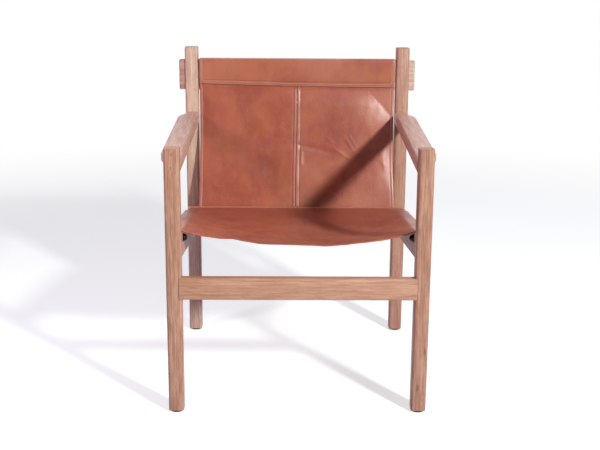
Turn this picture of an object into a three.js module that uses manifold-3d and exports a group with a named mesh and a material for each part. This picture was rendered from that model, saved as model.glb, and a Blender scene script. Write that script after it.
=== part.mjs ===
// A lounge chair: a square-post wooden frame that carries a leather seat sling and a leather back
// sling. Millimetres, +Z up, the front faces -Y, the origin is on the floor under the middle.
// Left and right are those of someone who stands in front of the chair and looks at it.

import * as THREE from 'three';
import { mergeVertices } from 'three/addons/utils/BufferGeometryUtils.js';
import Module from 'manifold-3d';

const wasm = await Module();
wasm.setup();

// Posts
const POST_SPACING_WIDE = 560;
const POST_SPACING_DEEP = 560;
const FRONT_POST_TOP = 619;
const BACK_POST_TOP = 788;
const POST_SIDE = 35;
const POST_CORNER_RADIUS = 7;
const POST_END_EASE = 2.5;

// Glides under the posts
const GLIDE_DIAMETER = 20;
const GLIDE_HEIGHT = 3.5;
const GLIDE_EDGE = 1.2;
const NAIL_DIAMETER = 3;
const NAIL_LENGTH = 16;
const NAIL_POINT_LENGTH = 4;

// Crest rail, through both back posts, below their tops
const CREST_DROP = 33.5;
const CREST_HEIGHT = 79;
const CREST_THICKNESS = 20;
const CREST_STUB = 15.5;
const CREST_CORNER_RADIUS = 4;
const CREST_EASE = 3;
const CREST_PIN_DIAMETER = 8;
const CREST_PIN_LENGTH = 30;

// Front stretcher, let into the inner corners of the front posts
const STRETCHER_TOP = 324;
const STRETCHER_HEIGHT = 50;
const STRETCHER_THICKNESS = 22;
const STRETCHER_LAP = 6.5;
const STRETCHER_CORNER_RADIUS = 5;
const STRETCHER_EASE = 2.5;

// Side rails, which fall to the rear
const SIDE_RAIL_TOP_FRONT = 423;
const SIDE_RAIL_TOP_REAR = 358;
const SIDE_RAIL_HEIGHT = 59;
const SIDE_RAIL_THICKNESS = 25;
const SIDE_RAIL_EDGE_RADIUS = 4;
const SIDE_TENON_THICKNESS = 12;
const SIDE_TENON_HEIGHT = 36;
const SIDE_TENON_LENGTH = 22;

// Rear seat rail, between the side rails
const REAR_RAIL_SETBACK = 72.5;
const REAR_RAIL_HEIGHT = 59;
const REAR_RAIL_THICKNESS = 20;
const REAR_RAIL_CORNER_RADIUS = 5;
const REAR_RAIL_EASE = 4;

// Arms, below the front posts' tops and the crest rail, which rise to the rear
const ARM_FRONT_DROP = 27.5;
const ARM_CREST_GAP = 58;
const ARM_THICKNESS = 32;
const ARM_EDGE_THICKNESS = 21;
const ARM_OVERHANG = 15;
const ARM_NECK_LENGTH = 18;
const ARM_FLARE_LENGTH = 44;
const ARM_EDGE_RADIUS = 5;
const ARM_TENON_WIDTH = 20;
const ARM_TENON_HEIGHT = 15;
const ARM_TENON_LENGTH = 22;

// Dowels
const DOWEL_DIAMETER = 8;
const DOWEL_LENGTH = 44;
const DOWEL_CHAMFER = 0.8;

// Leather
const LEATHER_THICKNESS = 3.2;
const SEAT_FRONT_SETBACK = 7.5;
const SEAT_FRONT_SAG = 33;
const SEAT_MIDDLE_SAG = 38;
const SEAT_LOW_POINT_OFFSET = 45;
const SEAT_FLAP_LENGTH = 36;
const REAR_FLAP_LENGTH = 34;
const BACK_HEAD_SIDE_GAP = 4.5;
const BACK_FOOT_SIDE_GAP = 1;
const BACK_WAIST = 3;
const BACK_BELLY = 5;
const BACK_TOP_LAP = 62;
const BAND_FRONT_DROP = 71;
const BEND_RADIUS = 4;
const SEAM_GAP = 0.4;
const SEAM_STRIP_WIDTH = 26;
const SEAM_STRIP_THICKNESS = 2;

// Battens and bolts that clamp the leather
const BATTEN_HEIGHT = 30;
const BATTEN_THICKNESS = 6;
const BATTEN_EDGE_RADIUS = 2.5;
const BATTEN_EASE = 1.5;
const BATTEN_END_INSET = 4;
const BATTEN_DROP = 3;
const BOLT_DROP = 16;
const BOLT_DIAMETER = 8;
const BOLT_HEAD_DIAMETER = 17;
const BOLT_HEAD_HEIGHT = 8;
const BOLT_SOCKET_WIDTH = 5;
const BOLT_SOCKET_DEPTH = 3.5;
const BOLT_END_INSET = 0.5;
const FLANGE_DIAMETER = 20;
const FLANGE_THICKNESS = 1.5;
const INSERT_DIAMETER = 12;
const SIDE_BOLT_COUNT = 3;
const SIDE_BOLT_FRONT_INSET = 24;
const SIDE_BOLT_REAR_INSET = 30;
const REAR_BOLT_COUNT = 4;
const REAR_BOLT_END_INSET = 48;

// Clearances, and the overrun of every cut
const FIT = 0.3;
const LAY = 0.3;
const OVERRUN = 5;

// Facet counts, and the sides of the small round pieces
const CORNER_STEPS = 3;
const EASE_STEPS = 2;
const ROUND_SIDES = 12;
const DOWEL_SIDES = 8;
const BEND_STEPS = 3;
const FLARE_STEPS = 6;
const SEAT_COLUMNS = 14;
const SEAT_ROWS = 10;
const BACK_COLUMNS = 4;
const BACK_ROWS = 10;
const HEX_SIDES = 6;

// Shares that shape the seat: how its sag runs from front to rear, and how steep its sides are
const SEAT_DEEPEST_SHARE = 0.35;
const SEAT_SAG_POWER = 2.6;
const LEAN_BEND_SHARE = 0.03;
const STRIP_TOP_SHARE = 0.88;
const BAND_TAIL_TOP_SHARE = 0.97;
const BAND_TAIL_END_SHARE = 0.9;
const HEAD_PROFILE_SHARES = [[1, 0], [1, 0.3], [0.86, 0.68], [0.55, 0.94], [0, 1]];

// Places that several pieces share
const halfWide = POST_SPACING_WIDE / 2;
const halfDeep = POST_SPACING_DEEP / 2;
const innerX = halfWide - POST_SIDE / 2;
const outerX = halfWide + POST_SIDE / 2;
const outerY = halfDeep + POST_SIDE / 2;
const frontFaceY = -halfDeep + POST_SIDE / 2;
const rearFaceY = halfDeep - POST_SIDE / 2;
const clearDepth = rearFaceY - frontFaceY;
const sideRailX = innerX + SIDE_RAIL_THICKNESS / 2;
const sideRailOuterX = innerX + SIDE_RAIL_THICKNESS;
const rearRailBackY = rearFaceY - REAR_RAIL_SETBACK + REAR_RAIL_THICKNESS / 2;
const rearRailFrontY = rearRailBackY - REAR_RAIL_THICKNESS;
const crestFrontY = halfDeep - CREST_THICKNESS / 2;
const crestBackY = halfDeep + CREST_THICKNESS / 2;
const crestTop = BACK_POST_TOP - CREST_DROP;
const crestBottom = crestTop - CREST_HEIGHT;
const armTopFront = FRONT_POST_TOP - ARM_FRONT_DROP;
const armTopRear = crestBottom - ARM_CREST_GAP;
const armFlareEnd = ARM_NECK_LENGTH + ARM_FLARE_LENGTH;
const layStep = LEATHER_THICKNESS + LAY;
const backSlingY = rearRailBackY + LAY + layStep;
const rearBattenY = backSlingY + layStep;
const backHeadHalfWidth = innerX - BACK_HEAD_SIDE_GAP;
const backFootHalfWidth = innerX - BACK_FOOT_SIDE_GAP;
const seatFrontY = frontFaceY + SEAT_FRONT_SETBACK;

const sideRailTopAt = (y) => lerp(SIDE_RAIL_TOP_FRONT, SIDE_RAIL_TOP_REAR, (y - frontFaceY) / clearDepth);
const armTopAt = (y) => lerp(armTopFront, armTopRear, (y - frontFaceY) / clearDepth);
const rearRailTop = sideRailTopAt(rearRailBackY);
const rearBoltZ = rearRailTop - BATTEN_DROP - BATTEN_HEIGHT / 2 - BEND_RADIUS;

function lerp(from, to, share) {
  return from + (to - from) * share;
}

/** Numbers from first to last in equal steps, both ends included. */
function spread(first, last, count) {
  return Array.from({ length: count }, (_, k) => lerp(first, last, k / (count - 1)));
}

// Materials: name, colour, roughness and metalness

function finish(name, color, roughness, metalness = 0) {
  return () => new THREE.MeshStandardMaterial({ name, color, roughness, metalness });
}

const wood = finish('oak', 0xcf9f7c, 0.55);
const dowelWood = finish('dowel_wood', 0xd8b48e, 0.6);
const leather = finish('leather', 0xb0664e, 0.5);
const blackSteel = finish('black_steel', 0x161616, 0.35, 0.8);
const brass = finish('insert_brass', 0xb59a5a, 0.35, 1);
const blackPlastic = finish('black_plastic', 0x141414, 0.5);

// Geometry helpers

/** Points of a polygon whose corners are rounded, all in the order of the corners. */
function roundedPolygon(corners, radius) {
  return corners.flatMap((corner, k) => {
    const before = corners[(k + corners.length - 1) % corners.length];
    const after = corners[(k + 1) % corners.length];
    const start = corner.clone().add(before.clone().sub(corner).setLength(radius));
    const end = corner.clone().add(after.clone().sub(corner).setLength(radius));
    return new THREE.QuadraticBezierCurve(start, corner, end).getPoints(CORNER_STEPS);
  });
}

function rectangleCorners(width, height) {
  const signs = [[-1, -1], [1, -1], [1, 1], [-1, 1]];
  return signs.map(([u, v]) => new THREE.Vector2(u * width / 2, v * height / 2));
}

function roundedRectangle(width, height, radius) {
  const [x, y] = [width / 2 - radius, height / 2 - radius];
  const shape = new THREE.Shape();
  [[x, y], [-x, y], [-x, -y], [x, -y]].forEach(([cx, cy], k) => {
    shape.absarc(cx, cy, radius, k * Math.PI / 2, (k + 1) * Math.PI / 2, false);
  });
  return shape;
}

/** A plate of the given outline from z = 0 to z = depth, with its rims eased. */
function easedPlate(outline, depth, ease) {
  const geometry = new THREE.ExtrudeGeometry(outline, {
    depth: depth - 2 * ease,
    bevelThickness: ease,
    bevelSize: ease,
    bevelOffset: -ease,
    bevelSegments: EASE_STEPS,
    curveSegments: CORNER_STEPS,
  });
  return geometry.translate(0, 0, ease);
}

/** A board that stands on edge along X, centred on X = 0 and on the given depth. */
function crossBoard({ length, height, thickness, radius, ease, top, centreY }) {
  const plate = easedPlate(roundedRectangle(length, height, radius), thickness, ease);
  return plate.rotateX(Math.PI / 2).translate(0, centreY + thickness / 2, top - height / 2);
}

/** Turns a mesh inside out if its faces point in. */
function outward(geometry) {
  const index = geometry.getIndex();
  const position = geometry.getAttribute('position');
  const [a, b, c] = [new THREE.Vector3(), new THREE.Vector3(), new THREE.Vector3()];
  let volume = 0;
  for (let k = 0; k < index.count; k += 3) {
    a.fromBufferAttribute(position, index.getX(k));
    b.fromBufferAttribute(position, index.getX(k + 1));
    c.fromBufferAttribute(position, index.getX(k + 2));
    volume += a.dot(b.cross(c));
  }
  if (volume < 0) {
    for (let k = 0; k < index.count; k += 3) {
      const first = index.getX(k);
      index.setX(k, index.getX(k + 2));
      index.setX(k + 2, first);
    }
  }
  return geometry;
}

function indexedGeometry(points, triangles) {
  const geometry = new THREE.BufferGeometry().setFromPoints(points);
  geometry.setIndex(triangles);
  return outward(geometry);
}

/** A closed skin through rings of equal point count, each in a plane of constant Y. */
function loft(rings) {
  const count = rings[0].length;
  const triangles = [];
  for (let r = 0; r + 1 < rings.length; r += 1) {
    for (let k = 0; k < count; k += 1) {
      const a = r * count + k;
      const b = r * count + (k + 1) % count;
      triangles.push(a, b, b + count, a, b + count, a + count);
    }
  }
  [0, rings.length - 1].forEach((r) => {
    const outline = rings[r].map((p) => new THREE.Vector2(p.x, p.z));
    const facesBack = THREE.ShapeUtils.isClockWise(outline) !== (r === 0);
    THREE.ShapeUtils.triangulateShape(outline, []).forEach(([a, b, c]) => {
      const cap = [r * count + a, r * count + b, r * count + c];
      triangles.push(...(facesBack ? cap.reverse() : cap));
    });
  });
  return indexedGeometry(rings.flat(), triangles);
}

/** A board along Y between two depths, whose middle height follows a sloping line. */
function slopedBoard({ width, height, radius, centreX, fromY, toY, centreZAt }) {
  const section = roundedPolygon(rectangleCorners(width, height), radius);
  return loft([fromY, toY].map((y) => section.map(
    (p) => new THREE.Vector3(centreX + p.x, y, centreZAt(y) + p.y),
  )));
}

/** A solid of even thickness on the upper side of a grid of points; keep says which cells exist. */
function thickSheet(rows, thickness, keep = () => true) {
  const [rowCount, columnCount] = [rows.length, rows[0].length];
  const at = (i, j) => i * columnCount + j;
  const lower = rows.flat();
  const normals = lower.map(() => new THREE.Vector3());
  const cells = [];
  for (let i = 0; i + 1 < rowCount; i += 1) {
    for (let j = 0; j + 1 < columnCount; j += 1) {
      if (keep(i, j)) {
        const cell = [at(i, j), at(i, j + 1), at(i + 1, j + 1), at(i + 1, j)];
        const across = lower[cell[2]].clone().sub(lower[cell[0]]);
        const normal = across.cross(lower[cell[3]].clone().sub(lower[cell[1]]));
        cell.forEach((corner) => normals[corner].add(normal.clone().normalize()));
        cells.push(cell);
      }
    }
  }
  const upper = lower.map((p, k) => p.clone().addScaledVector(normals[k].normalize(), thickness));
  const edges = new Map();
  const triangles = [];
  cells.forEach((cell) => {
    const [a, b, c, d] = cell;
    const lift = lower.length;
    triangles.push(a, c, b, a, d, c, lift + a, lift + b, lift + c, lift + a, lift + c, lift + d);
    cell.forEach((from, k) => {
      const to = cell[(k + 1) % cell.length];
      if (!edges.delete(`${to} ${from}`)) {
        edges.set(`${from} ${to}`, [from, to]);
      }
    });
  });
  edges.forEach(([from, to]) => {
    const lift = lower.length;
    triangles.push(from, to, lift + to, from, lift + to, lift + from);
  });
  return indexedGeometry([...lower, ...upper], triangles);
}

/** Points along a path of corners in the Y-Z plane, with each inner corner turned into a bend. */
function bentPath(corners, radius) {
  const points = [corners[0]];
  for (let k = 1; k + 1 < corners.length; k += 1) {
    const start = corners[k].clone().add(corners[k - 1].clone().sub(corners[k]).setLength(radius));
    const end = corners[k].clone().add(corners[k + 1].clone().sub(corners[k]).setLength(radius));
    points.push(...new THREE.QuadraticBezierCurve(start, corners[k], end).getPoints(BEND_STEPS));
  }
  points.push(corners[corners.length - 1]);
  return points;
}

function toSolid(geometry) {
  const bare = new THREE.BufferGeometry();
  bare.setAttribute('position', geometry.getAttribute('position'));
  bare.setIndex(geometry.getIndex());
  const merged = mergeVertices(bare);
  return new wasm.Manifold(new wasm.Mesh({
    numProp: 3,
    vertProperties: new Float32Array(merged.getAttribute('position').array),
    triVerts: new Uint32Array(merged.getIndex().array),
  }));
}

function toGeometry(solid) {
  const { vertProperties, triVerts } = solid.getMesh();
  const geometry = new THREE.BufferGeometry();
  geometry.setAttribute('position', new THREE.BufferAttribute(vertProperties, 3));
  geometry.setIndex(new THREE.BufferAttribute(triVerts, 1));
  return geometry;
}

function join(geometries) {
  return toGeometry(geometries.map(toSolid).reduce((whole, piece) => whole.add(piece)));
}

function cut(geometry, cutters) {
  const blank = toSolid(geometry);
  return toGeometry(cutters.map(toSolid).reduce((whole, cutter) => whole.subtract(cutter), blank));
}

/** A round solid from a profile of [radius, height] pairs, with its axis along +Z. */
function turned(profile, sides = ROUND_SIDES) {
  const points = profile.map(([radius, height]) => new THREE.Vector2(radius, height));
  return new THREE.LatheGeometry(points, sides).rotateX(Math.PI / 2);
}

function rod(diameter, length, sides = ROUND_SIDES) {
  return new THREE.CylinderGeometry(diameter / 2, diameter / 2, length, sides).rotateX(Math.PI / 2);
}

function chamferedRod(diameter, length) {
  const [radius, half] = [diameter / 2, length / 2];
  const rim = radius - DOWEL_CHAMFER;
  const shoulder = half - DOWEL_CHAMFER;
  const profile = [[0, -half], [rim, -half], [radius, -shoulder], [radius, shoulder], [rim, half], [0, half]];
  return turned(profile, DOWEL_SIDES);
}

const alongX = (geometry) => geometry.rotateY(Math.PI / 2);
const alongY = (geometry) => geometry.rotateX(-Math.PI / 2);

const chair = new THREE.Group();

function addPiece(name, geometry, material) {
  const mesh = new THREE.Mesh(geometry, material());
  mesh.name = name;
  chair.add(mesh);
}

/** Adds like pieces as nodes that are numbered from 1. */
function addPieces(name, geometries, material) {
  geometries.forEach((geometry, k) => addPiece(`${name}_${k + 1}`, geometry, material));
}

const SIDES = [['left', -1], ['right', 1]];

// Joints: each tenon and its mortise come from the same sizes

/** The tenon at one end of a board along Y, or with a clearance the mortise that takes it. */
function tenon({ width, height, length, centreX, faceY, into, centreZAt, clearance }) {
  const reach = length + clearance;
  return slopedBoard({
    width: width + 2 * clearance,
    height: height + 2 * clearance,
    radius: SIDE_RAIL_EDGE_RADIUS / 2,
    centreX,
    fromY: faceY - into * OVERRUN,
    toY: faceY + into * reach,
    centreZAt,
  });
}

const sideRailMiddleAt = (y) => sideRailTopAt(y) - SIDE_RAIL_HEIGHT / 2;
const armMiddleAt = (y) => armTopAt(y) - ARM_THICKNESS / 2;

function sideRailTenon(side, end, clearance) {
  return tenon({
    width: SIDE_TENON_THICKNESS,
    height: SIDE_TENON_HEIGHT,
    length: SIDE_TENON_LENGTH,
    centreX: side * sideRailX,
    faceY: end * clearDepth / 2,
    into: end,
    centreZAt: sideRailMiddleAt,
    clearance,
  });
}

function armTenon(side, end, clearance) {
  return tenon({
    width: ARM_TENON_WIDTH,
    height: ARM_TENON_HEIGHT,
    length: ARM_TENON_LENGTH,
    centreX: side * halfWide,
    faceY: end * clearDepth / 2,
    into: end,
    centreZAt: armMiddleAt,
    clearance,
  });
}

const stretcherY = -outerY + STRETCHER_THICKNESS / 2;

function stretcherBoard(clearance) {
  return crossBoard({
    length: 2 * (innerX + STRETCHER_LAP + clearance),
    height: STRETCHER_HEIGHT + 2 * clearance,
    thickness: STRETCHER_THICKNESS + clearance,
    radius: STRETCHER_CORNER_RADIUS,
    ease: STRETCHER_EASE,
    top: STRETCHER_TOP + clearance,
    centreY: stretcherY + clearance / 2,
  });
}

function crestBoard(clearance) {
  return crossBoard({
    length: 2 * (outerX + CREST_STUB),
    height: CREST_HEIGHT + 2 * clearance,
    thickness: CREST_THICKNESS + 2 * clearance,
    radius: CREST_CORNER_RADIUS,
    ease: CREST_EASE,
    top: crestTop + clearance,
    centreY: halfDeep,
  });
}

/** Two dowel centres, one above the other, a quarter of the board's height from its edges. */
function dowelHeights(top, height) {
  return [top - height / 4, top - 3 * height / 4];
}

const stretcherDowelX = innerX + STRETCHER_LAP;
const rearDowelX = innerX - DOWEL_LENGTH / 2 + SIDE_RAIL_THICKNESS / 2;

function stretcherDowels(side, clearance) {
  return dowelHeights(STRETCHER_TOP, STRETCHER_HEIGHT).map((z) => alongX(
    chamferedRod(DOWEL_DIAMETER + 2 * clearance, DOWEL_LENGTH / 2 + 2 * clearance),
  ).translate(side * stretcherDowelX, stretcherY, z));
}

function rearRailDowels(side, clearance) {
  return dowelHeights(rearRailTop, REAR_RAIL_HEIGHT).map((z) => alongX(
    chamferedRod(DOWEL_DIAMETER + 2 * clearance, DOWEL_LENGTH + 2 * clearance),
  ).translate(side * rearDowelX, rearRailBackY - REAR_RAIL_THICKNESS / 2, z));
}

function crestPin(side, clearance) {
  return alongY(chamferedRod(CREST_PIN_DIAMETER + 2 * clearance, CREST_PIN_LENGTH + 2 * clearance))
    .translate(side * halfWide, outerY - CREST_PIN_LENGTH / 2, crestTop - CREST_HEIGHT / 2);
}

// Posts and glides

function nailHole(x, y) {
  return rod(NAIL_DIAMETER + 2 * FIT, 2 * (NAIL_LENGTH + FIT)).translate(x, y, GLIDE_HEIGHT);
}

function post(side, end, top, cutters) {
  const [x, y] = [side * halfWide, end * halfDeep];
  const height = top - GLIDE_HEIGHT;
  const blank = easedPlate(roundedRectangle(POST_SIDE, POST_SIDE, POST_CORNER_RADIUS), height, POST_END_EASE);
  return cut(blank.translate(x, y, GLIDE_HEIGHT), [nailHole(x, y), ...cutters]);
}

function glide(side, end) {
  const rim = GLIDE_DIAMETER / 2;
  const nail = NAIL_DIAMETER / 2;
  const nailTop = GLIDE_HEIGHT + NAIL_LENGTH;
  return turned([
    [0, 0],
    [rim - GLIDE_EDGE, 0],
    [rim, GLIDE_EDGE],
    [rim, GLIDE_HEIGHT],
    [nail, GLIDE_HEIGHT],
    [nail, nailTop - NAIL_POINT_LENGTH],
    [0, nailTop],
  ]).translate(side * halfWide, end * halfDeep, 0);
}

SIDES.forEach(([word, side]) => {
  addPiece(`front_post_${word}`, post(side, -1, FRONT_POST_TOP, [
    sideRailTenon(side, -1, FIT),
    armTenon(side, -1, FIT),
    stretcherBoard(FIT),
    ...stretcherDowels(side, FIT),
  ]), wood);
  addPiece(`back_post_${word}`, post(side, 1, BACK_POST_TOP, [
    sideRailTenon(side, 1, FIT),
    armTenon(side, 1, FIT),
    crestBoard(FIT),
    crestPin(side, FIT),
  ]), wood);
  addPiece(`glide_front_${word}`, glide(side, -1), blackPlastic);
  addPiece(`glide_back_${word}`, glide(side, 1), blackPlastic);
});

// Cross rails

const crestPinHoles = SIDES.map(([, side]) => crestPin(side, FIT));
const stretcherDowelHoles = SIDES.flatMap(([, side]) => stretcherDowels(side, FIT));
addPiece('crest_rail', cut(crestBoard(0), crestPinHoles), wood);
addPiece('front_stretcher', cut(stretcherBoard(0), stretcherDowelHoles), wood);

SIDES.forEach(([word, side]) => {
  addPiece(`crest_pin_${word}`, crestPin(side, 0), dowelWood);
  addPieces(`stretcher_dowel_${word}`, stretcherDowels(side, 0), dowelWood);
  addPieces(`rear_rail_dowel_${word}`, rearRailDowels(side, 0), dowelWood);
});

// Bolts: their stations, holes and solids

const sideBoltStations = spread(
  frontFaceY + SIDE_BOLT_FRONT_INSET,
  rearRailFrontY - SIDE_BOLT_REAR_INSET,
  SIDE_BOLT_COUNT,
);
const rearBoltStations = spread(-innerX + REAR_BOLT_END_INSET, innerX - REAR_BOLT_END_INSET, REAR_BOLT_COUNT);
const sideGrip = SIDE_RAIL_THICKNESS + LAY + layStep + BATTEN_THICKNESS;
const rearGrip = REAR_RAIL_THICKNESS + LAY + 2 * layStep + BATTEN_THICKNESS;

/** A copy at each side bolt, from z = 0 on the rail's inner face towards the outside of the chair. */
function atSideBolts(side, make) {
  return sideBoltStations.map((y) => make().rotateY(side * Math.PI / 2)
    .translate(side * innerX, y, sideRailTopAt(y) - BOLT_DROP));
}

/** A copy at each rear bolt, from z = 0 on the rail's front face towards the rear. */
function atRearBolts(make) {
  return rearBoltStations.map((x) => alongY(make()).translate(x, rearRailFrontY, rearBoltZ));
}

/** A bolt whose flanged head bears on z = 0 from below and whose shank runs up. */
function bolt(grip) {
  const [flange, head, shank] = [FLANGE_DIAMETER / 2, BOLT_HEAD_DIAMETER / 2, BOLT_DIAMETER / 2];
  const shoulder = -FIT - FLANGE_THICKNESS;
  const dome = HEAD_PROFILE_SHARES.map(([r, h]) => [head * r, shoulder - BOLT_HEAD_HEIGHT * h]).reverse();
  const tip = grip - BOLT_END_INSET;
  const body = turned([...dome, [flange, shoulder], [flange, -FIT], [shank, -FIT], [shank, tip], [0, tip]]);
  const socket = rod(BOLT_SOCKET_WIDTH, 2 * BOLT_SOCKET_DEPTH, HEX_SIDES);
  return cut(body, [socket.translate(0, 0, shoulder - BOLT_HEAD_HEIGHT)]);
}

function ring(outerDiameter, innerDiameter, fromZ, length) {
  const [outer, inner, toZ] = [outerDiameter / 2, innerDiameter / 2, fromZ + length];
  return turned([[inner, fromZ], [outer, fromZ], [outer, toZ], [inner, toZ], [inner, fromZ]]);
}

function insert(grip) {
  return ring(INSERT_DIAMETER, BOLT_DIAMETER + 2 * FIT, grip - BATTEN_THICKNESS, BATTEN_THICKNESS);
}

/** A hole from just inside the head's bearing face to beyond the batten. */
function boltHole(diameter) {
  return rod(diameter + 2 * FIT, rearGrip + 2 * OVERRUN).translate(0, 0, rearGrip / 2);
}

const shankHole = () => boltHole(BOLT_DIAMETER);
const insertHole = () => boltHole(INSERT_DIAMETER);

// Side rails, rear seat rail and their battens

function sideRail(side) {
  const blank = slopedBoard({
    width: SIDE_RAIL_THICKNESS,
    height: SIDE_RAIL_HEIGHT,
    radius: SIDE_RAIL_EDGE_RADIUS,
    centreX: side * sideRailX,
    fromY: frontFaceY + FIT,
    toY: rearFaceY - FIT,
    centreZAt: sideRailMiddleAt,
  });
  const whole = join([blank, sideRailTenon(side, -1, 0), sideRailTenon(side, 1, 0)]);
  return cut(whole, [...atSideBolts(side, shankHole), ...rearRailDowels(side, FIT)]);
}

function sideBatten(side) {
  const batten = slopedBoard({
    width: BATTEN_THICKNESS,
    height: BATTEN_HEIGHT,
    radius: BATTEN_EDGE_RADIUS,
    centreX: side * (sideRailOuterX + LAY + layStep + BATTEN_THICKNESS / 2),
    fromY: seatFrontY + BATTEN_END_INSET,
    toY: rearRailBackY - BATTEN_END_INSET,
    centreZAt: (y) => sideRailTopAt(y) - BATTEN_DROP - BATTEN_HEIGHT / 2,
  });
  return cut(batten, atSideBolts(side, insertHole));
}

SIDES.forEach(([word, side]) => {
  addPiece(`side_rail_${word}`, sideRail(side), wood);
  addPiece(`seat_batten_${word}`, sideBatten(side), wood);
  addPieces(`seat_bolt_${word}`, atSideBolts(side, () => bolt(sideGrip)), blackSteel);
  addPieces(`seat_insert_${word}`, atSideBolts(side, () => insert(sideGrip)), brass);
});

const rearRail = crossBoard({
  length: 2 * (innerX - FIT),
  height: REAR_RAIL_HEIGHT,
  thickness: REAR_RAIL_THICKNESS,
  radius: REAR_RAIL_CORNER_RADIUS,
  ease: REAR_RAIL_EASE,
  top: rearRailTop,
  centreY: rearRailBackY - REAR_RAIL_THICKNESS / 2,
});
const rearBatten = crossBoard({
  length: 2 * (innerX - BATTEN_END_INSET),
  height: BATTEN_HEIGHT,
  thickness: BATTEN_THICKNESS,
  radius: BATTEN_EDGE_RADIUS,
  ease: BATTEN_EASE,
  top: rearBoltZ + BATTEN_HEIGHT / 2,
  centreY: rearBattenY + BATTEN_THICKNESS / 2,
});
const rearRailCuts = [...atRearBolts(shankHole), ...SIDES.flatMap(([, side]) => rearRailDowels(side, FIT))];
addPiece('rear_seat_rail', cut(rearRail, rearRailCuts), wood);
addPiece('back_batten', cut(rearBatten, atRearBolts(insertHole)), wood);
addPieces('back_bolt', atRearBolts(() => bolt(rearGrip)), blackSteel);
addPieces('back_insert', atRearBolts(() => insert(rearGrip)), brass);

// Arms: the outer edge swells past the posts on a flare beyond a neck at each end, and the underside
// is cut away

/** How far the arm's outer edge stands past the post: nothing at a neck, an S-curve over a flare. */
function armOverhangAt(y) {
  const fromEnd = Math.min(y - frontFaceY, rearFaceY - y);
  return ARM_OVERHANG * THREE.MathUtils.smoothstep(fromEnd, ARM_NECK_LENGTH, armFlareEnd);
}

function armRing(side, y) {
  const width = POST_SIDE + armOverhangAt(y);
  const fullWidth = POST_SIDE + ARM_OVERHANG;
  const edge = lerp(ARM_THICKNESS, ARM_EDGE_THICKNESS, width / fullWidth);
  const corners = [
    new THREE.Vector2(0, 0),
    new THREE.Vector2(0, -ARM_THICKNESS),
    new THREE.Vector2(width, -edge),
    new THREE.Vector2(width, 0),
  ];
  return roundedPolygon(corners, ARM_EDGE_RADIUS)
    .map((p) => new THREE.Vector3(side * (innerX + p.x), y, armTopAt(y) + p.y));
}

function arm(side) {
  const [front, rear] = [frontFaceY + FIT, rearFaceY - FIT];
  const stations = [
    front,
    ...spread(frontFaceY + ARM_NECK_LENGTH, frontFaceY + armFlareEnd, FLARE_STEPS),
    ...spread(rearFaceY - armFlareEnd, rearFaceY - ARM_NECK_LENGTH, FLARE_STEPS),
    rear,
  ];
  const board = loft(stations.map((y) => armRing(side, y)));
  return join([board, armTenon(side, -1, 0), armTenon(side, 1, 0)]);
}

SIDES.forEach(([word, side]) => {
  addPiece(`arm_${word}`, arm(side), wood);
});

// Seat sling: flaps down the outer faces of the side rails, a sagging middle, a flap behind

/** How deep the middle of the seat hangs at a share of its length: deepest near the front third. */
function seatSagAt(share) {
  if (share < SEAT_DEEPEST_SHARE) {
    const swell = Math.sin((share / SEAT_DEEPEST_SHARE) * Math.PI / 2);
    return lerp(SEAT_FRONT_SAG, SEAT_MIDDLE_SAG, swell);
  }
  const fade = (share - SEAT_DEEPEST_SHARE) / (1 - SEAT_DEEPEST_SHARE);
  return SEAT_MIDDLE_SAG * Math.cos(fade * Math.PI / 2);
}

/** How much of the sag a place across the seat has: all of it at the low point, none at the rails. */
function sagShareAt(x) {
  const toRail = x < SEAT_LOW_POINT_OFFSET ? -innerX : innerX;
  return 1 - ((x - SEAT_LOW_POINT_OFFSET) / (toRail - SEAT_LOW_POINT_OFFSET)) ** SEAT_SAG_POWER;
}

/** Half of the seat's cross-section, from the flap's lower end to the rail's inner corner. */
function seatFlapProfile() {
  const outer = sideRailOuterX + LAY;
  const corners = [
    new THREE.Vector2(outer, -SEAT_FLAP_LENGTH),
    new THREE.Vector2(outer, LAY),
    new THREE.Vector2(innerX, LAY),
  ];
  return bentPath(corners, BEND_RADIUS + LAY);
}

function seatGrid() {
  const flap = seatFlapProfile();
  const flapCount = flap.length;
  const span = innerX - SIDE_RAIL_EDGE_RADIUS;
  const rowLine = (y, sag) => {
    const middle = spread(-span, span, SEAT_COLUMNS)
      .map((x) => new THREE.Vector3(x, y, sideRailTopAt(y) + LAY - sag * sagShareAt(x)));
    const edge = (side) => flap.map((p) => new THREE.Vector3(side * p.x, y, sideRailTopAt(y) + p.y));
    return [...edge(-1), ...middle, ...edge(1).reverse()];
  };
  const rearTurn = rearRailBackY - SIDE_RAIL_EDGE_RADIUS;
  const rows = spread(0, 1, SEAT_ROWS)
    .map((share) => rowLine(lerp(seatFrontY, rearRailFrontY, share), seatSagAt(share)));
  rows.push(rowLine(rearTurn, 0));
  const back = rearRailBackY + LAY;
  const bend = bentPath([
    new THREE.Vector2(rearTurn, sideRailTopAt(rearTurn) + LAY),
    new THREE.Vector2(back, rearRailTop + LAY),
    new THREE.Vector2(back, rearRailTop - REAR_FLAP_LENGTH),
  ], BEND_RADIUS);
  const rearRows = bend.slice(1).map((p) => rowLine(p.x, 0).map((q) => new THREE.Vector3(q.x, p.x, p.y)));
  const isMiddle = (j) => j >= flapCount && j + 1 < flapCount + SEAT_COLUMNS;
  return { rows: [...rows, ...rearRows], keep: (i, j) => i + 1 < rows.length || isMiddle(j) };
}

const { rows: seatRows, keep: seatCells } = seatGrid();
const seatHoles = [...SIDES.flatMap(([, side]) => atSideBolts(side, shankHole)), ...atRearBolts(shankHole)];
addPiece('seat_sling', cut(thickSheet(seatRows, LEATHER_THICKNESS, seatCells), seatHoles), leather);

// Back sling: two panels and a seam strip between the rear batten and the crest rail, whose band
// makes a sleeve round the rail

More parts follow.
